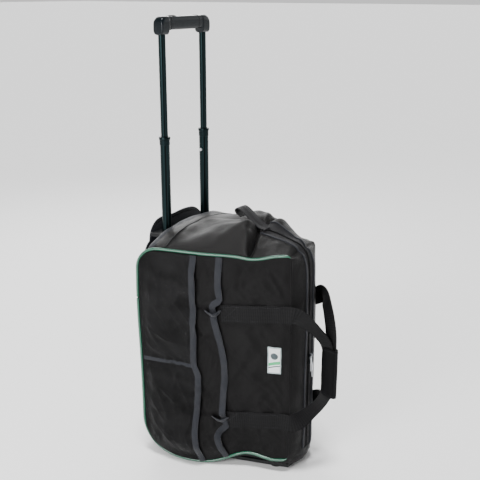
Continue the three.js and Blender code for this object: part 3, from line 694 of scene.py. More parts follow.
# The camera and the studio.
eye = bpy.data.objects.new("showCamera", bpy.data.cameras.new("showCamera"))
eye.data.lens, eye.data.sensor_width = camera["lens"], camera["sensor"]
eye.location = metres(camera["place"])
eye.rotation_euler = (math.radians(camera["tiltDeg"]), 0, math.radians(camera["turnDeg"]))
bpy.context.scene.collection.objects.link(eye)
bpy.context.scene.camera = eye
floorMesh = bpy.data.meshes.new("studioFloor")
floorEnds = ((-1, -1), (1, -1), (1, 1), (-1, 1))
floorCorners = [(light["floorHalf"] * x, light["floorHalf"] * y, -0.0005) for x, y in floorEnds]
floorMesh.from_pydata(floorCorners, [], [(0, 1, 2, 3)])
floor = bpy.data.objects.new("studioFloor", floorMesh)
bpy.context.scene.collection.objects.link(floor)
floorFinish = bpy.data.materials.new("studioFloor")
floorFinish.use_nodes = True
floorShader = floorFinish.node_tree.nodes["Principled BSDF"]
floorShader.inputs["Base Color"].default_value = (*[light["floorShade"]] * 3, 1)
floorShader.inputs["Roughness"].default_value = 0.8
floorMesh.materials.append(floorFinish)
world = bpy.data.worlds.new("studioWorld")
bpy.context.scene.world = world
world.use_nodes = True
sky = world.node_tree


# A strength that runs from one value to another while its source does; either value may be another socket.
def skyRange(source, start, end, low, high, shape="LINEAR"):
    made = sky.nodes.new("ShaderNodeMapRange")
    made.interpolation_type = shape
    sky.links.new(source, made.inputs["Value"])
    for title, value in (("From Min", start), ("From Max", end), ("To Min", low), ("To Max", high)):
        if isinstance(value, (int, float)):
            made.inputs[title].default_value = value
        else:
            sky.links.new(value, made.inputs[title])
    return made.outputs[0]


# The sky is brightest behind the bag and low down, dim on the other side, and as pale as the floor at the horizon.
skyWay = sky.nodes.new("ShaderNodeTexCoord").outputs["Generated"]
skyHeight = sky.nodes.new("ShaderNodeSeparateXYZ")
sky.links.new(skyWay, skyHeight.inputs[0])
backdropWay = math.radians(90 + camera["turnDeg"])
skyTurn = sky.nodes.new("ShaderNodeVectorMath")
skyTurn.operation = "DOT_PRODUCT"
skyTurn.inputs[1].default_value = (math.cos(backdropWay), math.sin(backdropWay), 0)
sky.links.new(skyWay, skyTurn.inputs[0])
skyTotal = sky.nodes.new("ShaderNodeMath")
skyTotal.operation = "MULTIPLY"
sky.links.new(skyRange(skyHeight.outputs["Z"], 0.12, 0.6, light["horizon"], light["zenith"]), skyTotal.inputs[0])
sky.links.new(skyRange(skyTurn.outputs["Value"], -0.15, 0.8, light["dimSide"], 1.0, "SMOOTHSTEP"), skyTotal.inputs[1])
skyStrength = skyRange(skyHeight.outputs["Z"], 0.03, 0.14, light["floorLine"], skyTotal.outputs[0])
sky.links.new(skyStrength, sky.nodes["Background"].inputs["Strength"])
sky.nodes["Background"].inputs["Color"].default_value = (1, 1, 1, 1)


def softLight(name, place, target, power, size):
    lamp = bpy.data.lights.new(name, "AREA")
    lamp.energy, lamp.size, lamp.shape = power, size, "DISK"
    made = bpy.data.objects.new(name, lamp)
    made.location = place
    made.rotation_euler = (Vector(target) - Vector(place)).to_track_quat("-Z", "Y").to_euler()
    bpy.context.scene.collection.objects.link(made)


softLight("keyLight", (-2.3, 0.0, 1.25), (0, 0, 0.3), light["key"], light["keySize"])
sun = bpy.data.objects.new("highSun", bpy.data.lights.new("highSun", "SUN"))
sun.data.energy, sun.data.angle = light["sun"], math.radians(light["sunSoftDeg"])
sun.rotation_euler = Vector((-0.16, -0.10, 0.98)).to_track_quat("Z", "Y").to_euler()
bpy.context.scene.collection.objects.link(sun)
softLight("rimLight", (1.2, 1.6, 1.8), (0, 0, 0.5), light["rim"], 1.5)
print("camera and light ready")

hands = (("left", -1), ("right", 1))


# One tree lays a bead or a stitch at even steps along any number of lines; "lean" is the cloth's own direction there.
def layingTree():
    tree = bpy.data.node_groups.new("layAlong", "GeometryNodeTree")
    face = tree.interface
    face.new_socket(name="Lines", in_out="INPUT", socket_type="NodeSocketGeometry")
    for title, kind in (("Pitch", "NodeSocketFloat"), ("Size", "NodeSocketVector"), ("Sides", "NodeSocketInt"),
                        ("Finish", "NodeSocketMaterial")):
        face.new_socket(name=title, in_out="INPUT", socket_type=kind)
    face.new_socket(name="Beads", in_out="OUTPUT", socket_type="NodeSocketGeometry")
    add = tree.nodes.new
    into, out = add("NodeGroupInput"), add("NodeGroupOutput")
    curve, steps = add("GeometryNodeMeshToCurve"), add("GeometryNodeResampleCurve")
    steps.mode = "LENGTH"
    bead = add("GeometryNodeMeshIcoSphere")
    bead.inputs["Radius"].default_value = 0.5
    smoothBead = add("GeometryNodeSetShadeSmooth")
    way, lean = add("GeometryNodeInputTangent"), add("GeometryNodeInputNamedAttribute")
    lean.data_type = "FLOAT_VECTOR"
    lean.inputs["Name"].default_value = "lean"
    turnX, turnZ = add("FunctionNodeAlignRotationToVector"), add("FunctionNodeAlignRotationToVector")
    turnX.axis, turnZ.axis, turnZ.pivot_axis = "X", "Z", "X"
    place, real, paint = add("GeometryNodeInstanceOnPoints"), add("GeometryNodeRealizeInstances"), add(
        "GeometryNodeSetMaterial")
    for a, b in ((into.outputs["Lines"], curve.inputs[0]), (curve.outputs[0], steps.inputs["Curve"]),
                 (into.outputs["Pitch"], steps.inputs["Length"]), (steps.outputs[0], place.inputs["Points"]),
                 (into.outputs["Sides"], bead.inputs["Subdivisions"]), (bead.outputs["Mesh"], smoothBead.inputs[0]),
                 (smoothBead.outputs[0], place.inputs["Instance"]), (way.outputs[0], turnX.inputs["Vector"]),
                 (turnX.outputs[0], turnZ.inputs["Rotation"]), (lean.outputs["Attribute"], turnZ.inputs["Vector"]),
                 (turnZ.outputs[0], place.inputs["Rotation"]), (into.outputs["Size"], place.inputs["Scale"]),
                 (place.outputs[0], real.inputs[0]), (real.outputs[0], paint.inputs["Geometry"]),
                 (into.outputs["Finish"], paint.inputs["Material"]), (paint.outputs[0], out.inputs[0])):
        tree.links.new(a, b)
    return tree


layAlong = layingTree()


# lines is a list of runs, each a list of (point, lean) in millimetres.
def layOn(name, body, lines, pitch, size, look, sides=1):
    places, leans, edges = [], [], []
    for run in lines:
        start = len(places)
        for point, lean in run:
            places.append(metres(point))
            leans.append(lean)
        edges += [(start + i, start + i + 1) for i in range(len(run) - 1)]
    mesh = bpy.data.meshes.new(name + "Lines")
    mesh.from_pydata(places, edges, [])
    attribute = mesh.attributes.new("lean", "FLOAT_VECTOR", "POINT")
    attribute.data.foreach_set("vector", np.array(leans, np.float32).ravel())
    carrier = bpy.data.objects.new(name + "Lines", mesh)
    bpy.context.scene.collection.objects.link(carrier)
    modifier = carrier.modifiers.new("layAlong", "NODES")
    modifier.node_group = layAlong
    sockets = {item.name: item.identifier for item in layAlong.interface.items_tree if item.in_out == "INPUT"}
    modifier[sockets["Pitch"]] = pitch * toMetres
    modifier[sockets["Size"]] = [v * toMetres for v in size]
    modifier[sockets["Sides"]] = sides
    modifier[sockets["Finish"]] = finish[look]
    bpy.context.view_layer.update()
    result = bpy.data.meshes.new_from_object(carrier.evaluated_get(bpy.context.evaluated_depsgraph_get()))
    bpy.data.objects.remove(carrier)
    result.name = name
    made = bpy.data.objects.new(name, result)
    bpy.context.scene.collection.objects.link(made)
    made["look"] = look
    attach(made, body)
    return made


sideOut = {-1: (outX, outY, 0), 1: (-outX, outY, 0)}
stitch = dict(pitch=4.2, size=(3.0, 0.7, 0.5))


# Sides: the cloth between the front seam and the back piping.
sideGrid = dict(across=96, up=120)
for word, hand in hands:
    def sidePoint(c, r, hand=hand):
        u = lerp(side["back"], side["length"], (c + 0.16 * (1 - math.cos(math.pi * c)) / 2) / 1.16)
        low, top = sideLimits(u)
        return sideSkin(u, lerp(low, top, r), hand)
    cloth = clothPiece("sideCloth_" + word, gridOf(sidePoint, sideGrid["up"], sideGrid["across"]), "cloth")
    fit(cloth, "bag", ["side_panel_" + word])
    declareSheet(cloth, 352, 505)
print("sides made")

# Cloth pocket: flat panel from the back seam to its bound front edge, with a flared notch at each strap.
clothPocket = dict(lift=2.4, bindWide=15, bindThick=1.6, seams=(386, 126), puff=5, front=[
    (40, 212), (60, 206), (88, 194), (104, 189), (115, 189), (122, 194), (129, 207), (136, 204), (150, 200),
    (184, 199), (244, 204), (305, 194),
    (340, 184), (362, 179), (376, 177), (383, 181), (389, 193), (396, 192), (410, 189), (430, 189), (509, 191)])
meshPocket = dict(lift=6.0, bindWide=14, bindThick=1.8, seamZ=248, puff=7, front=[
    (40, 156), (65, 150), (92, 142), (140, 136), (190, 141), (238, 144), (250, 139), (262, 133), (320, 134),
    (400, 131), (509, 131)])
clothFrontAt, meshFrontAt = curveThrough(clothPocket["front"]), curveThrough(meshPocket["front"])


def pocketLimits(u, inset):
    low, top = sideLimits(u)
    return low + inset, top - inset


def clothPocketFront(z):
    return clothFrontAt(z)


def clothPocketLift(u, z, hand):
    p = clothPocket
    seed = 4.4 if hand < 0 else 7.7
    near = smooth((z - 20) / 40) * smooth((500 - z) / 40) * smooth((u - 4) / 20)
    folds = 1.6 * wave((z + u) / 46, u / 60, seed) + 1.4 * (1 - abs(wave((z - u) / 60, u / 22, seed + 1))) ** 5
    open_ = smooth((u - 120) / 50)
    caught = sum(bump(z, at - 3, 9) for at in p["seams"])
    gape = 4.5 * open_ * sum(bump(z, at + 14, 13) for at in p["seams"])
    return p["lift"] + ((p["puff"] * bump(u, 165, 60) * (0.6 + 0.4 * math.sin(z / 47)) + folds) * (1 - 0.85 * caught)
                        + gape) * near


def meshPocketLift(u, z, hand):
    p = meshPocket
    seed = 5.2 if hand < 0 else 2.9
    near = smooth((z - 20) / 40) * smooth((500 - z) / 40) * smooth((u - 2) / 24)
    bowl = p["puff"] * math.sin(math.pi * clamp(u / 150)) ** 0.7 * (1 - 0.9 * bump(z, p["seamZ"], 22))
    pull = 4.2 * (1 - abs(wave((z + 0.7 * u) / 74, (u - 0.3 * z) / 120, seed))) ** 2
    pull += 1.6 * wave((z + 0.6 * u) / 34, (u - z * 0.4) / 90, seed + 2)
    return clothPocketLift(u, z, hand) + p["lift"] * 0.5 + (bowl + pull) * near


def meshPocketFront(z):
    return meshFrontAt(z)


def pocketSheet(name, hand, front, lift, look, across, up, thick):
    def at(c, r):
        z0 = lerp(60, 470, r)
        u = lerp(side["back"] + 5, front(z0), c)
        low, top = pocketLimits(u, 4)
        z = lerp(low, top, r)
        return sideSkin(u, z, hand, lift(u, z, hand))
    return clothPiece(name, gridOf(at, up, across), look, thick)


# A tape folded over an edge: its front edge is the pocket's own line.
def bindingRun(hand, front, lift, wide):
    knots = []
    for z in np.linspace(470, 60, 90):
        u = front(z) - wide / 2
        low, top = pocketLimits(u, 3)
        where = lerp(low, top, (z - 60) / 410)
        knots.append((sideSkin(u, where, hand, lift(u, where, hand) + 0.9), u, where))
    return knots


def bindingTape(name, hand, front, lift, wide, thick, look):
    knots = bindingRun(hand, front, lift, wide)
    path = [k[0] for k in knots]

    def across(i):
        _, u, z = knots[i]
        ahead = Vector(sideSkin(u + 5, z, hand, lift(u + 5, z, hand)))
        return ahead - Vector(sideSkin(u - 5, z, hand, lift(u - 5, z, hand)))
    return sweep(name, path, tapeSection(wide, thick, 0.9), look, across=across)


for word, hand in hands:
    under = pocketSheet("clothPocket_" + word, hand, clothPocketFront, clothPocketLift, "cloth", 60, 150, 0.9)
    fit(under, "bag", ["cloth_pocket_" + word])
    declareSheet(under, 190, 500)
    net = pocketSheet("meshPocket_" + word, hand, meshPocketFront, meshPocketLift, "net", 56, 190, 0.5)
    fit(net, "bag", ["mesh_pocket_" + word])
    declareSheet(net, 145, 500)
    for title, front, lift, p in (("clothBinding_", clothPocketFront, clothPocketLift, clothPocket),
                                  ("meshBinding_", meshPocketFront, meshPocketLift, meshPocket)):
        tape = bindingTape(title + word, hand, front, lift, p["bindWide"], p["bindThick"], "tape")
        fit(tape, "bag")
        runs = []
        for shift in (-0.36, 0.36):
            runs.append([(sideSkin(u + shift * p["bindWide"], z, hand, lift(u, z, hand) + 2.2), sideOut[hand])
                         for _, u, z in bindingRun(hand, front, lift, p["bindWide"])])
        layOn(title + "stitches_" + word, "bag", runs, stitch["pitch"], stitch["size"], "thread")
    runs = []
    for at in (meshPocket["seamZ"] - 4, meshPocket["seamZ"] + 4):
        us = np.linspace(2, meshPocketFront(at) - 8, 30)
        runs.append([(sideSkin(u, at, hand, meshPocketLift(u, at, hand) + 0.6), sideOut[hand]) for u in us])
    layOn("meshSeamStitches_" + word, "bag", runs, 3.4, (2.6, 0.8, 0.6), "thread")
    path, us = [], np.linspace(1, meshPocketFront(meshPocket["seamZ"]) - 6, 40)
    for u in us:
        z = meshPocket["seamZ"]
        path.append(sideSkin(u, z, hand, meshPocketLift(u, z, hand) + 0.35))
    fit(sweep("meshSeamTape_" + word, path, tapeSection(9, 0.9, 0.3), "tape", across=(0, 0, 1)), "bag")

# Where the cloth pocket is caught down at a strap, its binding folds over into a small lip.
lips = dict(wide=13, thick=1.5, runs=[
    ((152, 384, 7), (164, 379, 9), (174, 377, 10), (182, 382, 10), (189, 391, 9)),
    ((166, 127, 7), (177, 121, 9), (187, 119, 11), (196, 123, 11), (206, 131, 9))])
for word, hand in hands:
    for number, run in enumerate(lips["runs"]):
        knots = [sideSkin(u, z, hand, lift + clothPocketLift(u, z, hand) * 0.4) for u, z, lift in run]
        path = splineThrough(knots, 2)
        lean = Vector(sideOut[hand]) * 0.8 + Vector((0, 0, 0.9))
        fit(sweep("pocketLip_%d_%s" % (number + 1, word), path, tapeSection(lips["wide"], lips["thick"], 0.6), "tape",
                  across=tuple(lean), taper=lambda t: 0.45 + 0.55 * math.sin(math.pi * min(1, t * 0.8 + 0.15))), "bag")
print("pockets made")


# Piping: round cord in a green sleeve round the side's back, top and bottom; the front edge is a plain dark seam.
def sideOutline(uTop, uLow, hand, lift):
    flat = [(u, sideLimits(u)[1]) for u in np.linspace(uTop, 30, 60)]
    flat += [(side["back"] + 36 * (1 - math.sin(a)), sideLimits(side["back"] + 36 * (1 - math.sin(a)))[1])
             for a in np.linspace(0.05, math.pi / 2, 30)]
    backTop, backLow = sideLimits(side["back"])[1], sideLimits(side["back"])[0]
    flat += [(side["back"], z) for z in np.linspace(backTop - 2, backLow + 2, 70)]
    flat += [(side["back"] + 80 * (1 - math.cos(a)), sideLimits(side["back"] + 80 * (1 - math.cos(a)))[0])
             for a in np.linspace(0, math.pi / 2 - 0.05, 40)]
    flat += [(u, sideLimits(u)[0]) for u in np.linspace(76, uLow, 60)]
    centre = (170, 260)
    run = []
    for u, z in flat:
        du, dz = u - centre[0], z - centre[1]
        size = math.hypot(du, dz)
        run.append(sideSkin(u + lift * du / size, z + lift * dz / size, hand, 1.2))
    return evenly(run, 5)


piping = dict(radius=3.3, topFrom=340, lowTo=340, farEnd=322, out=1.0, seamRadius=1.9)
for word, hand in hands:
    ends = (piping["topFrom"], piping["lowTo"]) if hand < 0 else (piping["farEnd"], piping["farEnd"])
    run = sideOutline(*ends, hand, piping["out"])
    green = sweep("piping_green_" + word, run, roundSection(piping["radius"], 12), "piping",
                  taper=lambda t: smooth(min(t, 1 - t) * 60 + 0.25))
    fit(green, "bag", ["piping_" + word])
    frontRun = [seamPoint(k, hand) for k in np.linspace(7.0, 15.4, 110)]
    fit(sweep("frontSeam_" + word, evenly(frontRun, 5), roundSection(piping["seamRadius"], 8), "cloth"), "bag")
print("piping made")

# Top, front and underside.
top = clothPiece("topCloth", bandGrid(0, band["flapStart"], lambda k: -1, lambda k: 1, 62, 130), "topCloth", 1.4)
fit(top, "bag", ["top_panel"])
declareSheet(top, 350, 260)
base = clothPiece("baseCloth", bandGrid(band["flapEnd"], 19.9, lambda k: -1, lambda k: 1, 60, 60), "cloth", 1.4)
fit(base, "bag")
for word, hand in hands:
    def outer(k, hand=hand):
        return hand * 1.0

    def inner(k, hand=hand):
        return hand * mouthAt(k) / seamHalf(k)

    def tapeIn(k, hand=hand):
        return hand * 2.4 / seamHalf(k)

    def tapeOut(k, hand=hand):
        return hand * (mouthAt(k) + 3) / seamHalf(k)
    topFlap = clothPiece("topFlapCloth_" + word, bandGrid(band["flapStart"], band["corner"], outer, inner, 70, 56),
                         "topCloth", 1.4)
    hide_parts("top_flap_" + word)
    seam = seamPoint(5, hand)
    metres(seam)
    metres((seam[0] - 20 * hand * -outX, seam[1] - 20 * outY, seam[2]))
    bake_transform(topFlap)
    declareSheet(topFlap, 110, 135)
    frontFlap = clothPiece("frontFlapCloth_" + word, bandGrid(band["corner"], band["flapEnd"], outer, inner, 130, 20),
                           "cloth", 1.4)
    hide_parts("front_flap_" + word)
    metres((hand * 60, -322, 270))
    metres((hand * 44, -328, 270))
    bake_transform(frontFlap)
    declareSheet(frontFlap, 62, 510)
    for title, k0, k1, body, stands in (("zipTapeTop_", band["flapStart"] + 0.1, band["corner"],
                                         "top_flap_" + word + "_body", ()),
                                        ("zipTapeFront_", band["corner"], band["flapEnd"], "flap_" + word, ())):
        fit(clothPiece(title + word, bandGrid(k0, k1, tapeOut, tapeIn, 90, 6, -1.7), "zipTape", 0.9), body)
    for title, k0, k1, body in (("zipCoilTop_", band["flapStart"] + 0.15, band["corner"],
                                 "top_flap_" + word + "_body"),
                                ("zipCoilFront_", band["corner"], band["flapEnd"] - 0.05, "flap_" + word)):
        run = []
        for k in np.linspace(k0, k1, 160):
            ny, nz = bandNormal(k)
            run.append((bandSkin(k, hand * 1.7 / seamHalf(k), -0.7), (0, ny, nz)))
        coil = layOn(title + word, body, [run], 1.9, (1.1, 3.2, 1.9), "zipPlastic")
        if title == "zipCoilFront_":
            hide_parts("zip_teeth_" + word)
        stitches = []
        for inset in (2.0, 8.0):
            stitches.append([(bandSkin(k, hand * (mouthAt(k) + inset) / seamHalf(k), 0.45), (0, *bandNormal(k)))
                             for k in np.linspace(k0, k1, 120)])
        layOn(title + "stitches_" + word, body, stitches, stitch["pitch"], stitch["size"], "thread")
        lip = evenly([bandSkin(k, hand * (mouthAt(k) + 0.6) / seamHalf(k), 0.5) for k in np.linspace(k0, k1, 140)], 4)
        lipName = title.replace("Coil", "Lip") + word
        fit(sweep(lipName, lip, tapeSection(4.6, 1.6, 0.9), "tape", across=(1, 0, 0)), body)
print("top, front and zip made")

# The seam across the top near the back, and the bound back edge of the top.
seams = []
for shift in (-0.02, 0.03):
    seams.append([(bandSkin(0.62 + shift, s, 0.5), (0, 0, 1)) for s in np.linspace(-0.99, 0.99, 90)])
layOn("topSeamStitches", "bag", seams, stitch["pitch"], stitch["size"], "thread")
ridge = [bandSkin(0.55, s, 0.4) for s in np.linspace(-1, 1, 110)]
fit(sweep("topSeamTape", evenly(ridge, 5), tapeSection(7, 1.0, 0.6), "cloth",
          across=(0, -1, 0.1)), "bag")
edge = [bandSkin(0.0, s, 0.2) for s in np.linspace(-1, 1, 110)]
fit(sweep("topBackBinding", evenly(edge, 5), [(-9, 1.0), (-4, 1.8), (0, 2.2), (3, 1.4), (4, 0), (3, -1.4), (0, -2.2),
                                             (-9, -2.4)], "tape", across=(0, 1, 0)), "bag")

# Zip tab: the taped end of the zip, which stands up off the top with its free end folded under.
tab = dict(wide=33, thick=2.0, knots=[
    (0, -166, 575), (0, -157, 580), (0, -151.5, 585), (0, -152, 590.5), (0, -158, 593), (0, -168, 589.5),
    (0, -180, 581), (0, -192, 571), (0, -204, 562.5), (0, -216, 557), (0, -230, 554.5)])
tabPath = splineThrough(tab["knots"], 2)
fit(sweep("zipTabStrip", tabPath, tapeSection(tab["wide"], tab["thick"], 0.5), "zipTape", across=(1, 0, 0)), "bag",
    ["zip_tab"])
tabLines = []
for x in (-13, -4.5, 4.5, 13):
    tabLines.append([((x, y - 1.2, z + 1.2), (0, -0.5, 0.8)) for _, y, z in tabPath[8:-3]])
layOn("zipTabStitches", "bag", tabLines, 3.4, (2.6, 0.8, 0.6), "thread")
layOn("zipTabCoil", "bag", [[((0, y - 0.8, z + 1.2), (0, -0.5, 0.8)) for _, y, z in tabPath[14:-3]]], 1.9,
      (1.1, 4.2, 1.9), "zipPlastic")

# Zip sliders: a rounded plate with a bridge, and a long pull with a slot, hung from it.
slider = dict(front=-347, back=-342.2, half=6, tall=13, middles=dict(upper=276, lower=260))
pull = dict(front=-349.2, back=-347.4, half=2.6, shift=3.2, tops=dict(upper=278, lower=262), long=38)
for word, turn in (("upper", -1), ("lower", 1)):
    mid = slider["middles"][word]
    layers = []
    for y, size in ((slider["back"], 0.90), (slider["back"] - 0.5, 1), (slider["back"] - 1.3, 1), (-344.2, 0.62),
                    (-345.2, 0.62), (-346.0, 0.96), (-346.6, 1), (slider["front"], 0.9)):
        ring = []
        for a in np.linspace(0, 2 * math.pi, 40, endpoint=False):
            c, s = math.cos(a), math.sin(a)
            pinch = 1 - 0.28 * smooth(-turn * -s * 0.5 + 0.3)
            ring.append((c * slider["half"] * 0.98 * size * pinch, y, mid + s * slider["tall"] / 2 * size))
        layers.append(ring)
    fit(tubeSolid("zipSlider_" + word, np.array(layers), "zipMetal"), "slider_" + word, ["zip_slider_" + word])
    over = turn * pull["shift"]
    bridge = splineThrough([(over * 0.4, -346.6, mid - 4.2), (over * 0.7, -348.2, mid - 2.6),
                            (over, -349.0, mid), (over * 0.7, -348.2, mid + 2.6),
                            (turn * pull["shift"] * 0.4, -346.6, mid + 4.2)], 0.6)
    fit(sweep("zipBridge_" + word, bridge, roundSection(0.65, 8), "zipMetal", across=(1, 0, 0)), "slider_" + word)
    topZ, x = pull["tops"][word], turn * pull["shift"]
    rings = []
    for a in np.linspace(0, 2 * math.pi, 48, endpoint=False):
        c, s = math.cos(a), math.sin(a)
        power = 3.0
        size = (abs(c) ** power + abs(s) ** power) ** (-1 / power)
        wide = pull["half"] * (0.86 + 0.14 * smooth(0.5 - s * 0.5))
        outer = (x + c * size * wide, topZ - pull["long"] / 2 + s * size * pull["long"] / 2)
        inner = (x + c * size * 1.15, topZ - pull["long"] * 0.72 + s * size * 7.0)
        loop = []
        for (px, pz), y in ((inner, -347.7), (outer, -347.4), (outer, -348.9), (inner, -349.0)):
            loop.append((px, y, pz))
        rings.append(loop)
    fit(loopSolid("zipPull_" + word, np.array(rings), "steel"), "puller_" + word, ["zip_puller_" + word])

# Straps and carrying handle: one webbing from the side, over the front seam and into the wrap.
strap = dict(wide=40, thick=2.2, start=188, joint=318, topZ=380, lowZ=121, rise=10, off=3.8, box=34)
wrapShape = dict(front=-411.5, back=-374, low=190, high=309, half=8.5, wall=2.2)


# Free runs from the seam to inside the wrap: x, y, rise from the seam, and how far the webbing has turned.
strapRuns = {
    (-1, True): ((-62.5, -333, 0, 0.1), (-55, -343, -4, 0.35), (-43, -353, -15, 0.6), (-30, -363, -31, 0.8),
                 (-17, -373, -49, 0.95), (-7, -383, -68, 1), (-3.6, -389, -88, 1), (-2.6, -392, -122, 1)),
    (1, True): ((-61, -327, 8, 0.1), (-54, -341, 17, 0.35), (-40, -355, 17, 0.6), (-24, -368, 8, 0.8),
                (-12, -380, -9, 0.95), (-5.2, -389, -34, 1), (-3.4, -393, -66, 1), (-2.6, -393, -116, 1),
                (-2.6, -392.4, -157, 1)),
    (-1, False): ((-62.5, -333, -1, 0.1), (-55, -343, 2, 0.35), (-44, -352, 9, 0.6), (-31, -362, 20, 0.8),
                  (-18, -374, 34, 0.95), (-8, -383, 50, 1), (-4, -388, 66, 1), (-2.6, -391, 96, 1)),
    (1, False): ((-61, -327, 6, 0.1), (-54, -341, 16, 0.35), (-41, -354, 28, 0.6), (-26, -367, 38, 0.8),
                 (-13, -378, 48, 0.95), (-5.4, -386, 62, 1), (-3.4, -390, 76, 1), (-2.6, -392, 105, 1)),
}


def strapMiddle(u, base):
    return base + strap["rise"] * (u - 194) / 124


# The webbing is gathered in its width where it nears the wrap.
def gathered(y):
    t = smooth((-338 - y) / 40)
    return 1 - 0.34 * t, 1 + 0.7 * t


def strapKnots(hand, base, up):
    knots, outs = [], []
    for u in (strap["start"], 205, 225, 250, 275, 300, 320, 334):
        z = strapMiddle(u, base)
        near = 3.2 if u < 200 else strap["off"]
        knots.append(sideSkin(u, z, hand, near))
        outs.append(Vector(sideOut[hand]))
    last = strapMiddle(334, base)
    for x, y, dz, turn in strapRuns[(hand, up)]:
        knots.append((x * -hand, y, last + dz))
        outs.append(Vector(sideOut[hand]).lerp(Vector((hand, -0.25 * (1 - turn), 0)), turn).normalized())
    return knots, outs


for word, hand in hands:
    for part, base, up in (("top", strap["topZ"], True), ("bottom", strap["lowZ"], False)):
        knots, outs = strapKnots(hand, base, up)
        path = splineThrough(knots, 3)
        leans = splineThrough([tuple(o) for o in outs], 1)
        count = len(path)

        def acrossStrap(i, path=path, leans=leans, count=count):
            a, b = Vector(path[max(0, i - 1)]), Vector(path[min(count - 1, i + 1)])
            lean = Vector(leans[0])
            j = i / (count - 1) * (len(leans) - 1)
            lean = Vector(leans[int(j)]).lerp(Vector(leans[min(int(j) + 1, len(leans) - 1)]), j - int(j))
            return (b - a).cross(lean)
        webbing = sweep("strapLoop_" + part + "_" + word, path, tapeSection(strap["wide"], strap["thick"], 0.25),
                        "webbing", across=acrossStrap,
                        narrow=lambda i, path=path: gathered(path[i][1]))
        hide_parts("strap_" + part + "_" + word)
        if part == "top":
            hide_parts("handle_loop_" + word)
        hinge = (-60 if hand < 0 else 60, -325)
        metres((hinge[0] * 1.05, hinge[1] + 8, base))
        metres((hinge[0] * 0.98, hinge[1] - 12, base))
        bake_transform(webbing)
        # A box with a cross, sewn where the webbing meets the pocket.
        lines = []
        u0, u1, half = strap["start"] + 3, strap["start"] + 3 + strap["box"], strap["wide"] / 2 - 4
        for a, b in (((u0, -half), (u1, -half)), ((u1, -half), (u1, half)), ((u1, half), (u0, half)),
                     ((u0, half), (u0, -half)), ((u0, -half), (u1, half)), ((u0, half), (u1, -half)),
                     ((u1, -half), (strap["joint"], -half)), ((u1, half), (strap["joint"], half))):
            flat = [(lerp(a[0], b[0], t), lerp(a[1], b[1], t)) for t in np.linspace(0, 1, 14)]
            lines.append([(sideSkin(u, strapMiddle(u, base) + v, hand, strap["off"] + 1.5), sideOut[hand])
                          for u, v in flat])
        layOn("strapStitches_" + part + "_" + word, "bag", lines, 3.6, (2.7, 0.7, 0.5), "thread")
print("straps made")


# Wrap: a padded sleeve open along its far side, its lower front corner drawn to a point.
def wrapPoint(angle, t, wall):
    p = wrapShape
    middle, depth = (p["front"] + p["back"]) / 2, (p["back"] - p["front"]) / 2 - wall
    y = math.copysign(abs(math.cos(angle)) ** 0.75, math.cos(angle)) * depth
    x = math.copysign(abs(math.sin(angle)) ** 0.8, math.sin(angle)) * (p["half"] - wall)
    low = p["low"] + 9 * smooth((y + 8) / 30)
    high = p["high"] - 5 * smooth((-y + 2) / 30)
    puff = 1 + 0.06 * math.sin(math.pi * t) + 0.02 * math.sin(9 * t + y / 9)
    return (x * puff + 0.7 * wave(y / 16, t * 5, 3.3), middle + y * (1 + 0.02 * math.sin(math.pi * t)),
            lerp(low, high, t))


def wrapGrid(wall, gap=0.30):
    angles = np.linspace(-1.5 * math.pi + gap, 0.5 * math.pi - gap, 64)
    return np.array([[wrapPoint(a, t, wall) for a in angles] for t in np.linspace(0, 1, 44)])


wrap = clothPiece("handleWrap", wrapGrid(0.0), "wrap", wrapShape["wall"])
fit(wrap, "flap_left", ["handle_wrap"])
lines = []
for t in (0.045, 0.955):
    lines.append([(wrapPoint(a, t, -0.3), (-1 if math.sin(a) < 0 else 1, 0, 0)) for a in np.linspace(-4.4, 1.2, 70)])
lines.append([(wrapPoint(-2.55, t, -0.3), (-1, 0, 0)) for t in np.linspace(0.05, 0.95, 40)])
lines.append([(wrapPoint(-0.6, t, -0.3), (-1, 0, 0)) for t in np.linspace(0.05, 0.95, 40)])
layOn("wrapStitches", "flap_left", lines, 4.0, (2.8, 0.7, 0.5), "thread")

# Woven patch on the near side.
patch = dict(start=294, end=324, low=250, high=313, lift=1.0, thick=1.0)
patchGrid = gridOf(lambda c, r: sideSkin(lerp(patch["start"], patch["end"], c),
                                         lerp(patch["low"], patch["high"], r), -1,
                                         patch["lift"] + 0.6), 26, 14)
fit(clothPiece("wovenPatchLabel", patchGrid, "patch", patch["thick"], uvSize=patchSize), "bag", ["woven_patch"])

# Back cover: thin cloth over the trolley tubes, lined, with a bound edge.
cover = dict(flat=94, edge=163, y=30, edgeY=1, low=76, high=552, round=48, lowRound=26, thick=1.6)


def coverPoint(s, t, off=0.0):
    p = cover
    x = s * p["edge"]
    turn = clamp((abs(x) - p["flat"]) / (p["edge"] - p["flat"]))
    y = lerp(p["y"], p["edgeY"], turn ** 1.55) - off
    corner = cornerCut(max(0, 101 - abs(x)), p["round"]) if abs(x) < 101 else p["round"]
    high = p["high"] - corner - (28 * smooth((abs(x) - 101) / 62) if abs(x) > 101 else 0)
    high += 1.6 * math.sin(x / 17) * (1 - turn)
    low = p["low"] + cornerCut(p["edge"] - abs(x), p["lowRound"])
    return (x * (1 - off / 260), y, lerp(low, high, t))


coverCloth = clothPiece("rearCover", gridOf(lambda c, r: coverPoint(2 * c - 1, r), 60, 100), "cloth", cover["thick"])
fit(coverCloth, "bag", ["rear_cover"])
liner = clothPiece("rearCoverLining",
                   gridOf(lambda c, r: coverPoint((2 * c - 1) * 0.97, 0.01 + 0.975 * r, 2.2), 60, 100), "lining", 0.8)
fit(liner, "bag")
rim = evenly([coverPoint(s, 1.0, 0.8) for s in np.linspace(-0.985, 0.985, 200)], 4)
fit(sweep("rearCoverBinding", rim, [(-5, 1.2), (1.5, 1.7), (2.6, 0), (1.5, -1.7), (-5, -1.6)], "tape",
          across=(0, 0, 1)), "bag")
print("wrap, patch and cover made")

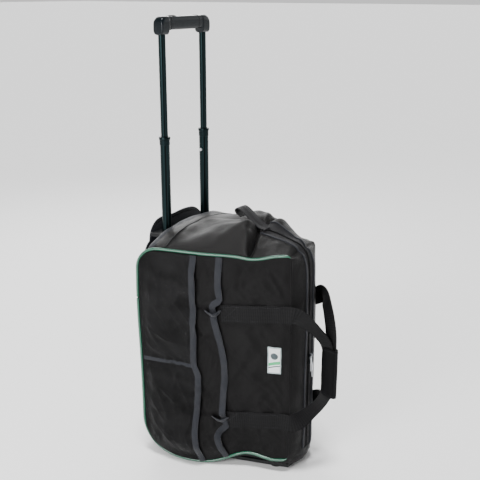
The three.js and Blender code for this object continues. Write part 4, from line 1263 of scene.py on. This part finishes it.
# Back wall behind the tubes, faced with lining.
backWall = dict(y=-20.5, half=148, low=73, thick=3.4)


def backWallPoint(s, t):
    p = backWall
    top = bandSkin(0.0, clamp(s, -0.99, 0.99))[2] - 3
    return (s * p["half"], p["y"] - 0.6 * (1 + wave(s * 4, t * 6, 1.0)), lerp(p["low"], top, t))


fit(clothPiece("backWall", gridOf(lambda c, r: backWallPoint(2 * c - 1, r), 50, 60), "lining", backWall["thick"]),
    "bag", ["back_board"])


# A plan outline that narrows towards the front with the bag, as the distance from a centre along an angle.
def planReach(angle, centreY, back, front, slack):
    dx, dy = math.cos(angle), math.sin(angle)
    low, high = 0.0, 300.0
    for _ in range(30):
        r = (low + high) / 2
        x, y = abs(dx * r), centreY + dy * r
        inside = front < y < back and x < 165 + 105 * y / 325 - slack
        low, high = (r, high) if inside else (low, r)
    return low


def softPlan(centreY, back, front, slack, count=96):
    reach = np.array([planReach(2 * math.pi * i / count, centreY, back, front, slack) for i in range(count)])
    for _ in range(2):
        reach = (np.roll(reach, 1) + reach * 2 + np.roll(reach, -1)) / 4
    return reach


ballY = -140
shelf = dict(low=263, high=269, hole=46, back=-32, front=-300, slack=12)
reach = softPlan(ballY, shelf["back"], shelf["front"], shelf["slack"])
rings = []
for i, r in enumerate(reach):
    a = 2 * math.pi * i / len(reach)
    loop = []
    for radius, z in ((shelf["hole"] + 1.5, 263), (r - 1.5, 263), (r, 264.2), (r + 0.4, 266), (r, 267.8),
                      (r - 1.5, 269), (shelf["hole"] + 1.5, 269), (shelf["hole"], 267.8), (shelf["hole"] - 0.3, 266),
                      (shelf["hole"], 264.2)):
        loop.append((math.cos(a) * radius, ballY + math.sin(a) * radius, z))
    rings.append(loop)
fit(loopSolid("ballShelf", np.array(rings), "lining"), "bag", ["ball_shelf"])

cup = dict(low=16.6, high=66, dishLow=34, ball=108, back=-54, front=-290, slack=14, round=7)
reach = softPlan(ballY, cup["back"], cup["front"], cup["slack"])
dishEdge = math.sqrt(cup["ball"] ** 2 - (cup["ball"] - (cup["high"] - cup["dishLow"])) ** 2)
rings = []
for i, r in enumerate(reach):
    a = 2 * math.pi * i / len(reach)
    loop = [(0, cup["low"]), (r - 4, cup["low"]), (r, cup["low"] + 4), (r, cup["high"] - cup["round"])]
    loop += [(r - cup["round"] * (1 - math.cos(t)), cup["high"] - cup["round"] * (1 - math.sin(t)))
             for t in np.linspace(0.3, math.pi / 2, 5)]
    rim = min(dishEdge, r - cup["round"] - 1)
    loop += [(rim + 1.0, cup["high"] - 0.3)]
    for d in np.linspace(rim, 0, 14):
        loop.append((d, cup["dishLow"] + cup["ball"] - math.sqrt(cup["ball"] ** 2 - d * d)))
    rings.append([(math.cos(a) * d, ballY + math.sin(a) * d, min(z, cup["high"])) for d, z in loop])
cupPiece = loopSolid("ballCup", np.array(rings), "foam")
fit(cupPiece, "bag", ["ball_cup"])
print("inside made")

# Trolley: fluted tubes that slide one in another.
rail = dict(x=72.5, middle=11, middleBore=8.6, middleLow=455, middleTop=744, upper=8, upperBore=6.5, upperLow=680,
            upperTop=975, groove=0.07, grooveHalf=0.07)
snap = dict(z=697, radius=3.9, long=13.2)


def railFlutes(angle, radius):
    if radius < 7.5:
        return 1.0
    turn = (angle / (math.pi / 2)) % 1.0 - 0.5
    return 1 - rail["groove"] * (1 - smooth((abs(turn) - rail["grooveHalf"]) / rail["grooveHalf"]))


def tubeProfile(outer, bore, low, high):
    soft = 0.5
    return [(outer - soft, low), (outer, low + soft), (outer, high - soft), (outer - soft, high), (bore + soft, high),
            (bore, high - soft), (bore, low + soft), (bore + soft, low)]


# A hole for the snap button, straight through the inner side of a tube.
def holed(piece, x, hand):
    bit = bmesh.new()
    radius, long = snap["radius"] * toMetres, snap["long"] * toMetres
    middle = metres((x - hand * snap["long"] / 2, 0, snap["z"]))
    place = Matrix.Translation(middle) @ Matrix.Rotation(math.pi / 2, 4, "Y")
    bmesh.ops.create_cone(bit, cap_ends=True, segments=32, radius1=radius, radius2=radius, depth=long, matrix=place)
    drill = bpy.data.objects.new("snapDrill", bpy.data.meshes.new("snapDrill"))
    bit.to_mesh(drill.data)
    bit.free()
    bpy.context.scene.collection.objects.link(drill)
    cut = piece.modifiers.new("snapHole", "BOOLEAN")
    cut.operation, cut.solver, cut.object = "DIFFERENCE", "EXACT", drill
    bpy.context.view_layer.update()
    made = bpy.data.meshes.new_from_object(piece.evaluated_get(bpy.context.evaluated_depsgraph_get()))
    piece.modifiers.clear()
    piece.data = made
    shade(made, 35)
    bpy.data.objects.remove(drill)
    return piece


for word, hand in hands:
    x = rail["x"] * hand
    for stage in ("middle", "upper"):
        profile = tubeProfile(rail[stage], rail[stage + "Bore"], rail[stage + "Low"], rail[stage + "Top"])
        tube = turned(stage + "Tube_" + word, (x, 0, 0), profile, "rail", 72, flutes=railFlutes)
        fit(holed(tube, x, hand), stage + "_stage", [stage + "_tube_" + word])
    collar = [(11.0, 728), (11.6, 728.6), (11.7, 740), (12.7, 741), (12.9, 745.6), (12.2, 747), (8.8, 747), (8.3, 746),
              (8.3, 744.6), (11.0, 744.3)]
    fit(turned("stageCollar_" + word, (x, 0, 0), collar, "railPlain", 48), "middle_stage", ["stage_collar_" + word])


# Grip: a rounded bar between two deeper end blocks, with a bed for the button.
grip = dict(half=85.6, low=975.6, blockLow=966, high=1005.4, depth=27, power=3.4, shoulder=13)


def gripGrid():
    rows = []
    xs = [85.6, 85.3, 84.5, 83.2, 81.2, 78.6, 75, 70, 66, 63, 61.5, 60.5, 59.5, 58, 54, 46, 36, 24, 12, 0]
    xs = [-x for x in xs] + xs[-2::-1]
    for x in xs:
        reach = abs(x)
        inBlock = smooth((reach - 58.8) / 2.6)
        shrink = cornerCut(grip["half"] - reach, 3.0)
        high = grip["high"] - cornerCut(grip["half"] - reach, grip["shoulder"]) - 0.5 * (1 - inBlock)
        low = lerp(grip["low"], grip["blockLow"], inBlock) + shrink
        deep = grip["depth"] / 2 - 0.9 * (1 - inBlock) - shrink
        section = []
        for a in np.linspace(0, 2 * math.pi, 56, endpoint=False):
            c, s = math.cos(a), math.sin(a)
            size = (abs(c) ** grip["power"] + abs(s) ** grip["power"]) ** (-1 / grip["power"])
            section.append((x, c * size * deep, (high + low) / 2 + s * size * (high - low) / 2))
        rows.append(section)
    return np.array(rows)


fit(tubeSolid("gripBar", gripGrid(), "grip"), "upper_stage",
    ["grip_bar", "grip_cap_left", "grip_cap_right"])
bed = [(12.2 * math.cos(a), 6.2 * math.sin(a)) for a in np.linspace(0, 2 * math.pi, 40, endpoint=False)]
fit(sweep("buttonBed", [(-38 + x, y, 1004.7) for x, y in bed], roundSection(0.8, 8), "plastic", across=(0, 0, 1),
          closed=True), "upper_stage")
for title, x in (("right", 46), ("left", -52)):
    ring = []
    for a in np.linspace(0, 2 * math.pi, 48, endpoint=False):
        c, s = math.cos(a), math.sin(a)
        size = (abs(c) ** 3.6 + abs(s) ** 3.6) ** (-1 / 3.6)
        ring.append((x, c * size * 12.7, 990.3 + s * size * 14.5))
    fit(sweep("gripRing_" + title, ring, roundSection(0.7, 8), "plastic", across=(1, 0, 0), closed=True),
        "upper_stage")
button = []
for z, size in ((988.4, 1), (1004.8, 1), (1005.9, 0.94), (1006.5, 0.8)):
    button.append([(-38 + math.copysign(abs(math.cos(a)) ** 0.8, math.cos(a)) * 10.6 * size,
                    math.sin(a) * 4.9 * size, z) for a in np.linspace(0, 2 * math.pi, 36, endpoint=False)])
fit(tubeSolid("releaseButton", np.array(button), "plastic"), "release", ["release_button"])
print("trolley made")

# Wheels: treaded tyres on spoked hubs.
wheel = dict(x=96, y=10, z=30, radius=30, half=11, hub=20.6, bore=4.4, spokes=5)
for word, hand in hands:
    centre = (wheel["x"] * hand, wheel["y"], wheel["z"])
    h = wheel["half"]
    tyre = [(21, -h), (26, -h), (28.6, -h + 1.2), (29.8, -h + 4), (30, -2.2), (29.2, -1.6), (29.2, 1.6), (30, 2.2),
            (29.8, h - 4), (28.6, h - 1.2), (26, h), (21, h)]

    def tread(angle, radius):
        return 1 - (0.022 * smooth((math.sin(angle * 36) - 0.5) / 0.3) if radius > 29.5 else 0)
    fit(turned("wheelTyre_" + word, centre, tyre, "rubber", 288, lying=True, flutes=tread), "wheel_" + word,
        ["wheel_tyre_" + word])
    boss = [(4.5, -11.6), (8, -11.6), (8.6, -10.6), (8.6, 10.6), (8, 11.6), (4.5, 11.6)]
    hubMesh = turned("wheelHub_" + word, centre, boss, "hub", 48, lying=True)
    ringPart = turned("hubRing", centre, [(17, -8), (20.9, -8), (20.9, 8), (17, 8)], "hub", 64, lying=True)
    work = bmesh.new()
    work.from_mesh(hubMesh.data)
    work.from_mesh(ringPart.data)
    for i in range(wheel["spokes"]):
        a = 2 * math.pi * i / wheel["spokes"]
        before = set(work.verts)
        bmesh.ops.create_cube(work, size=1.0)
        for v in set(work.verts) - before:
            r = lerp(7.5, 18.5, v.co.z + 0.5)
            w = v.co.y * lerp(7, 5, v.co.z + 0.5)
            spot = (v.co.x * 10, r * math.cos(a) - w * math.sin(a), r * math.sin(a) + w * math.cos(a))
            v.co = metres([c + s for c, s in zip(centre, spot)])
    work.to_mesh(hubMesh.data)
    work.free()
    bpy.data.objects.remove(ringPart)
    fit(hubMesh, "wheel_" + word, ["wheel_hub_" + word])

# The nodes that keep their CAD shape get their finish here.
keptLook = dict(moulded_plastic="plastic", steel="steel", rail_metal="rail", wheel_rubber="rubber",
                zip_metal="zipMetal", grip_plastic="grip", hub_plastic="hub", webbing="webbing",
                zip_plastic="zipPlastic", bag_cloth="cloth")
for name, node in nodes.items():
    for slotHere in node.material_slots:
        if slotHere.material and slotHere.material.name.split(".")[0] in keptLook:
            slotHere.material = finish[keptLook[slotHere.material.name.split(".")[0]]]
print("wheels and finishes done")
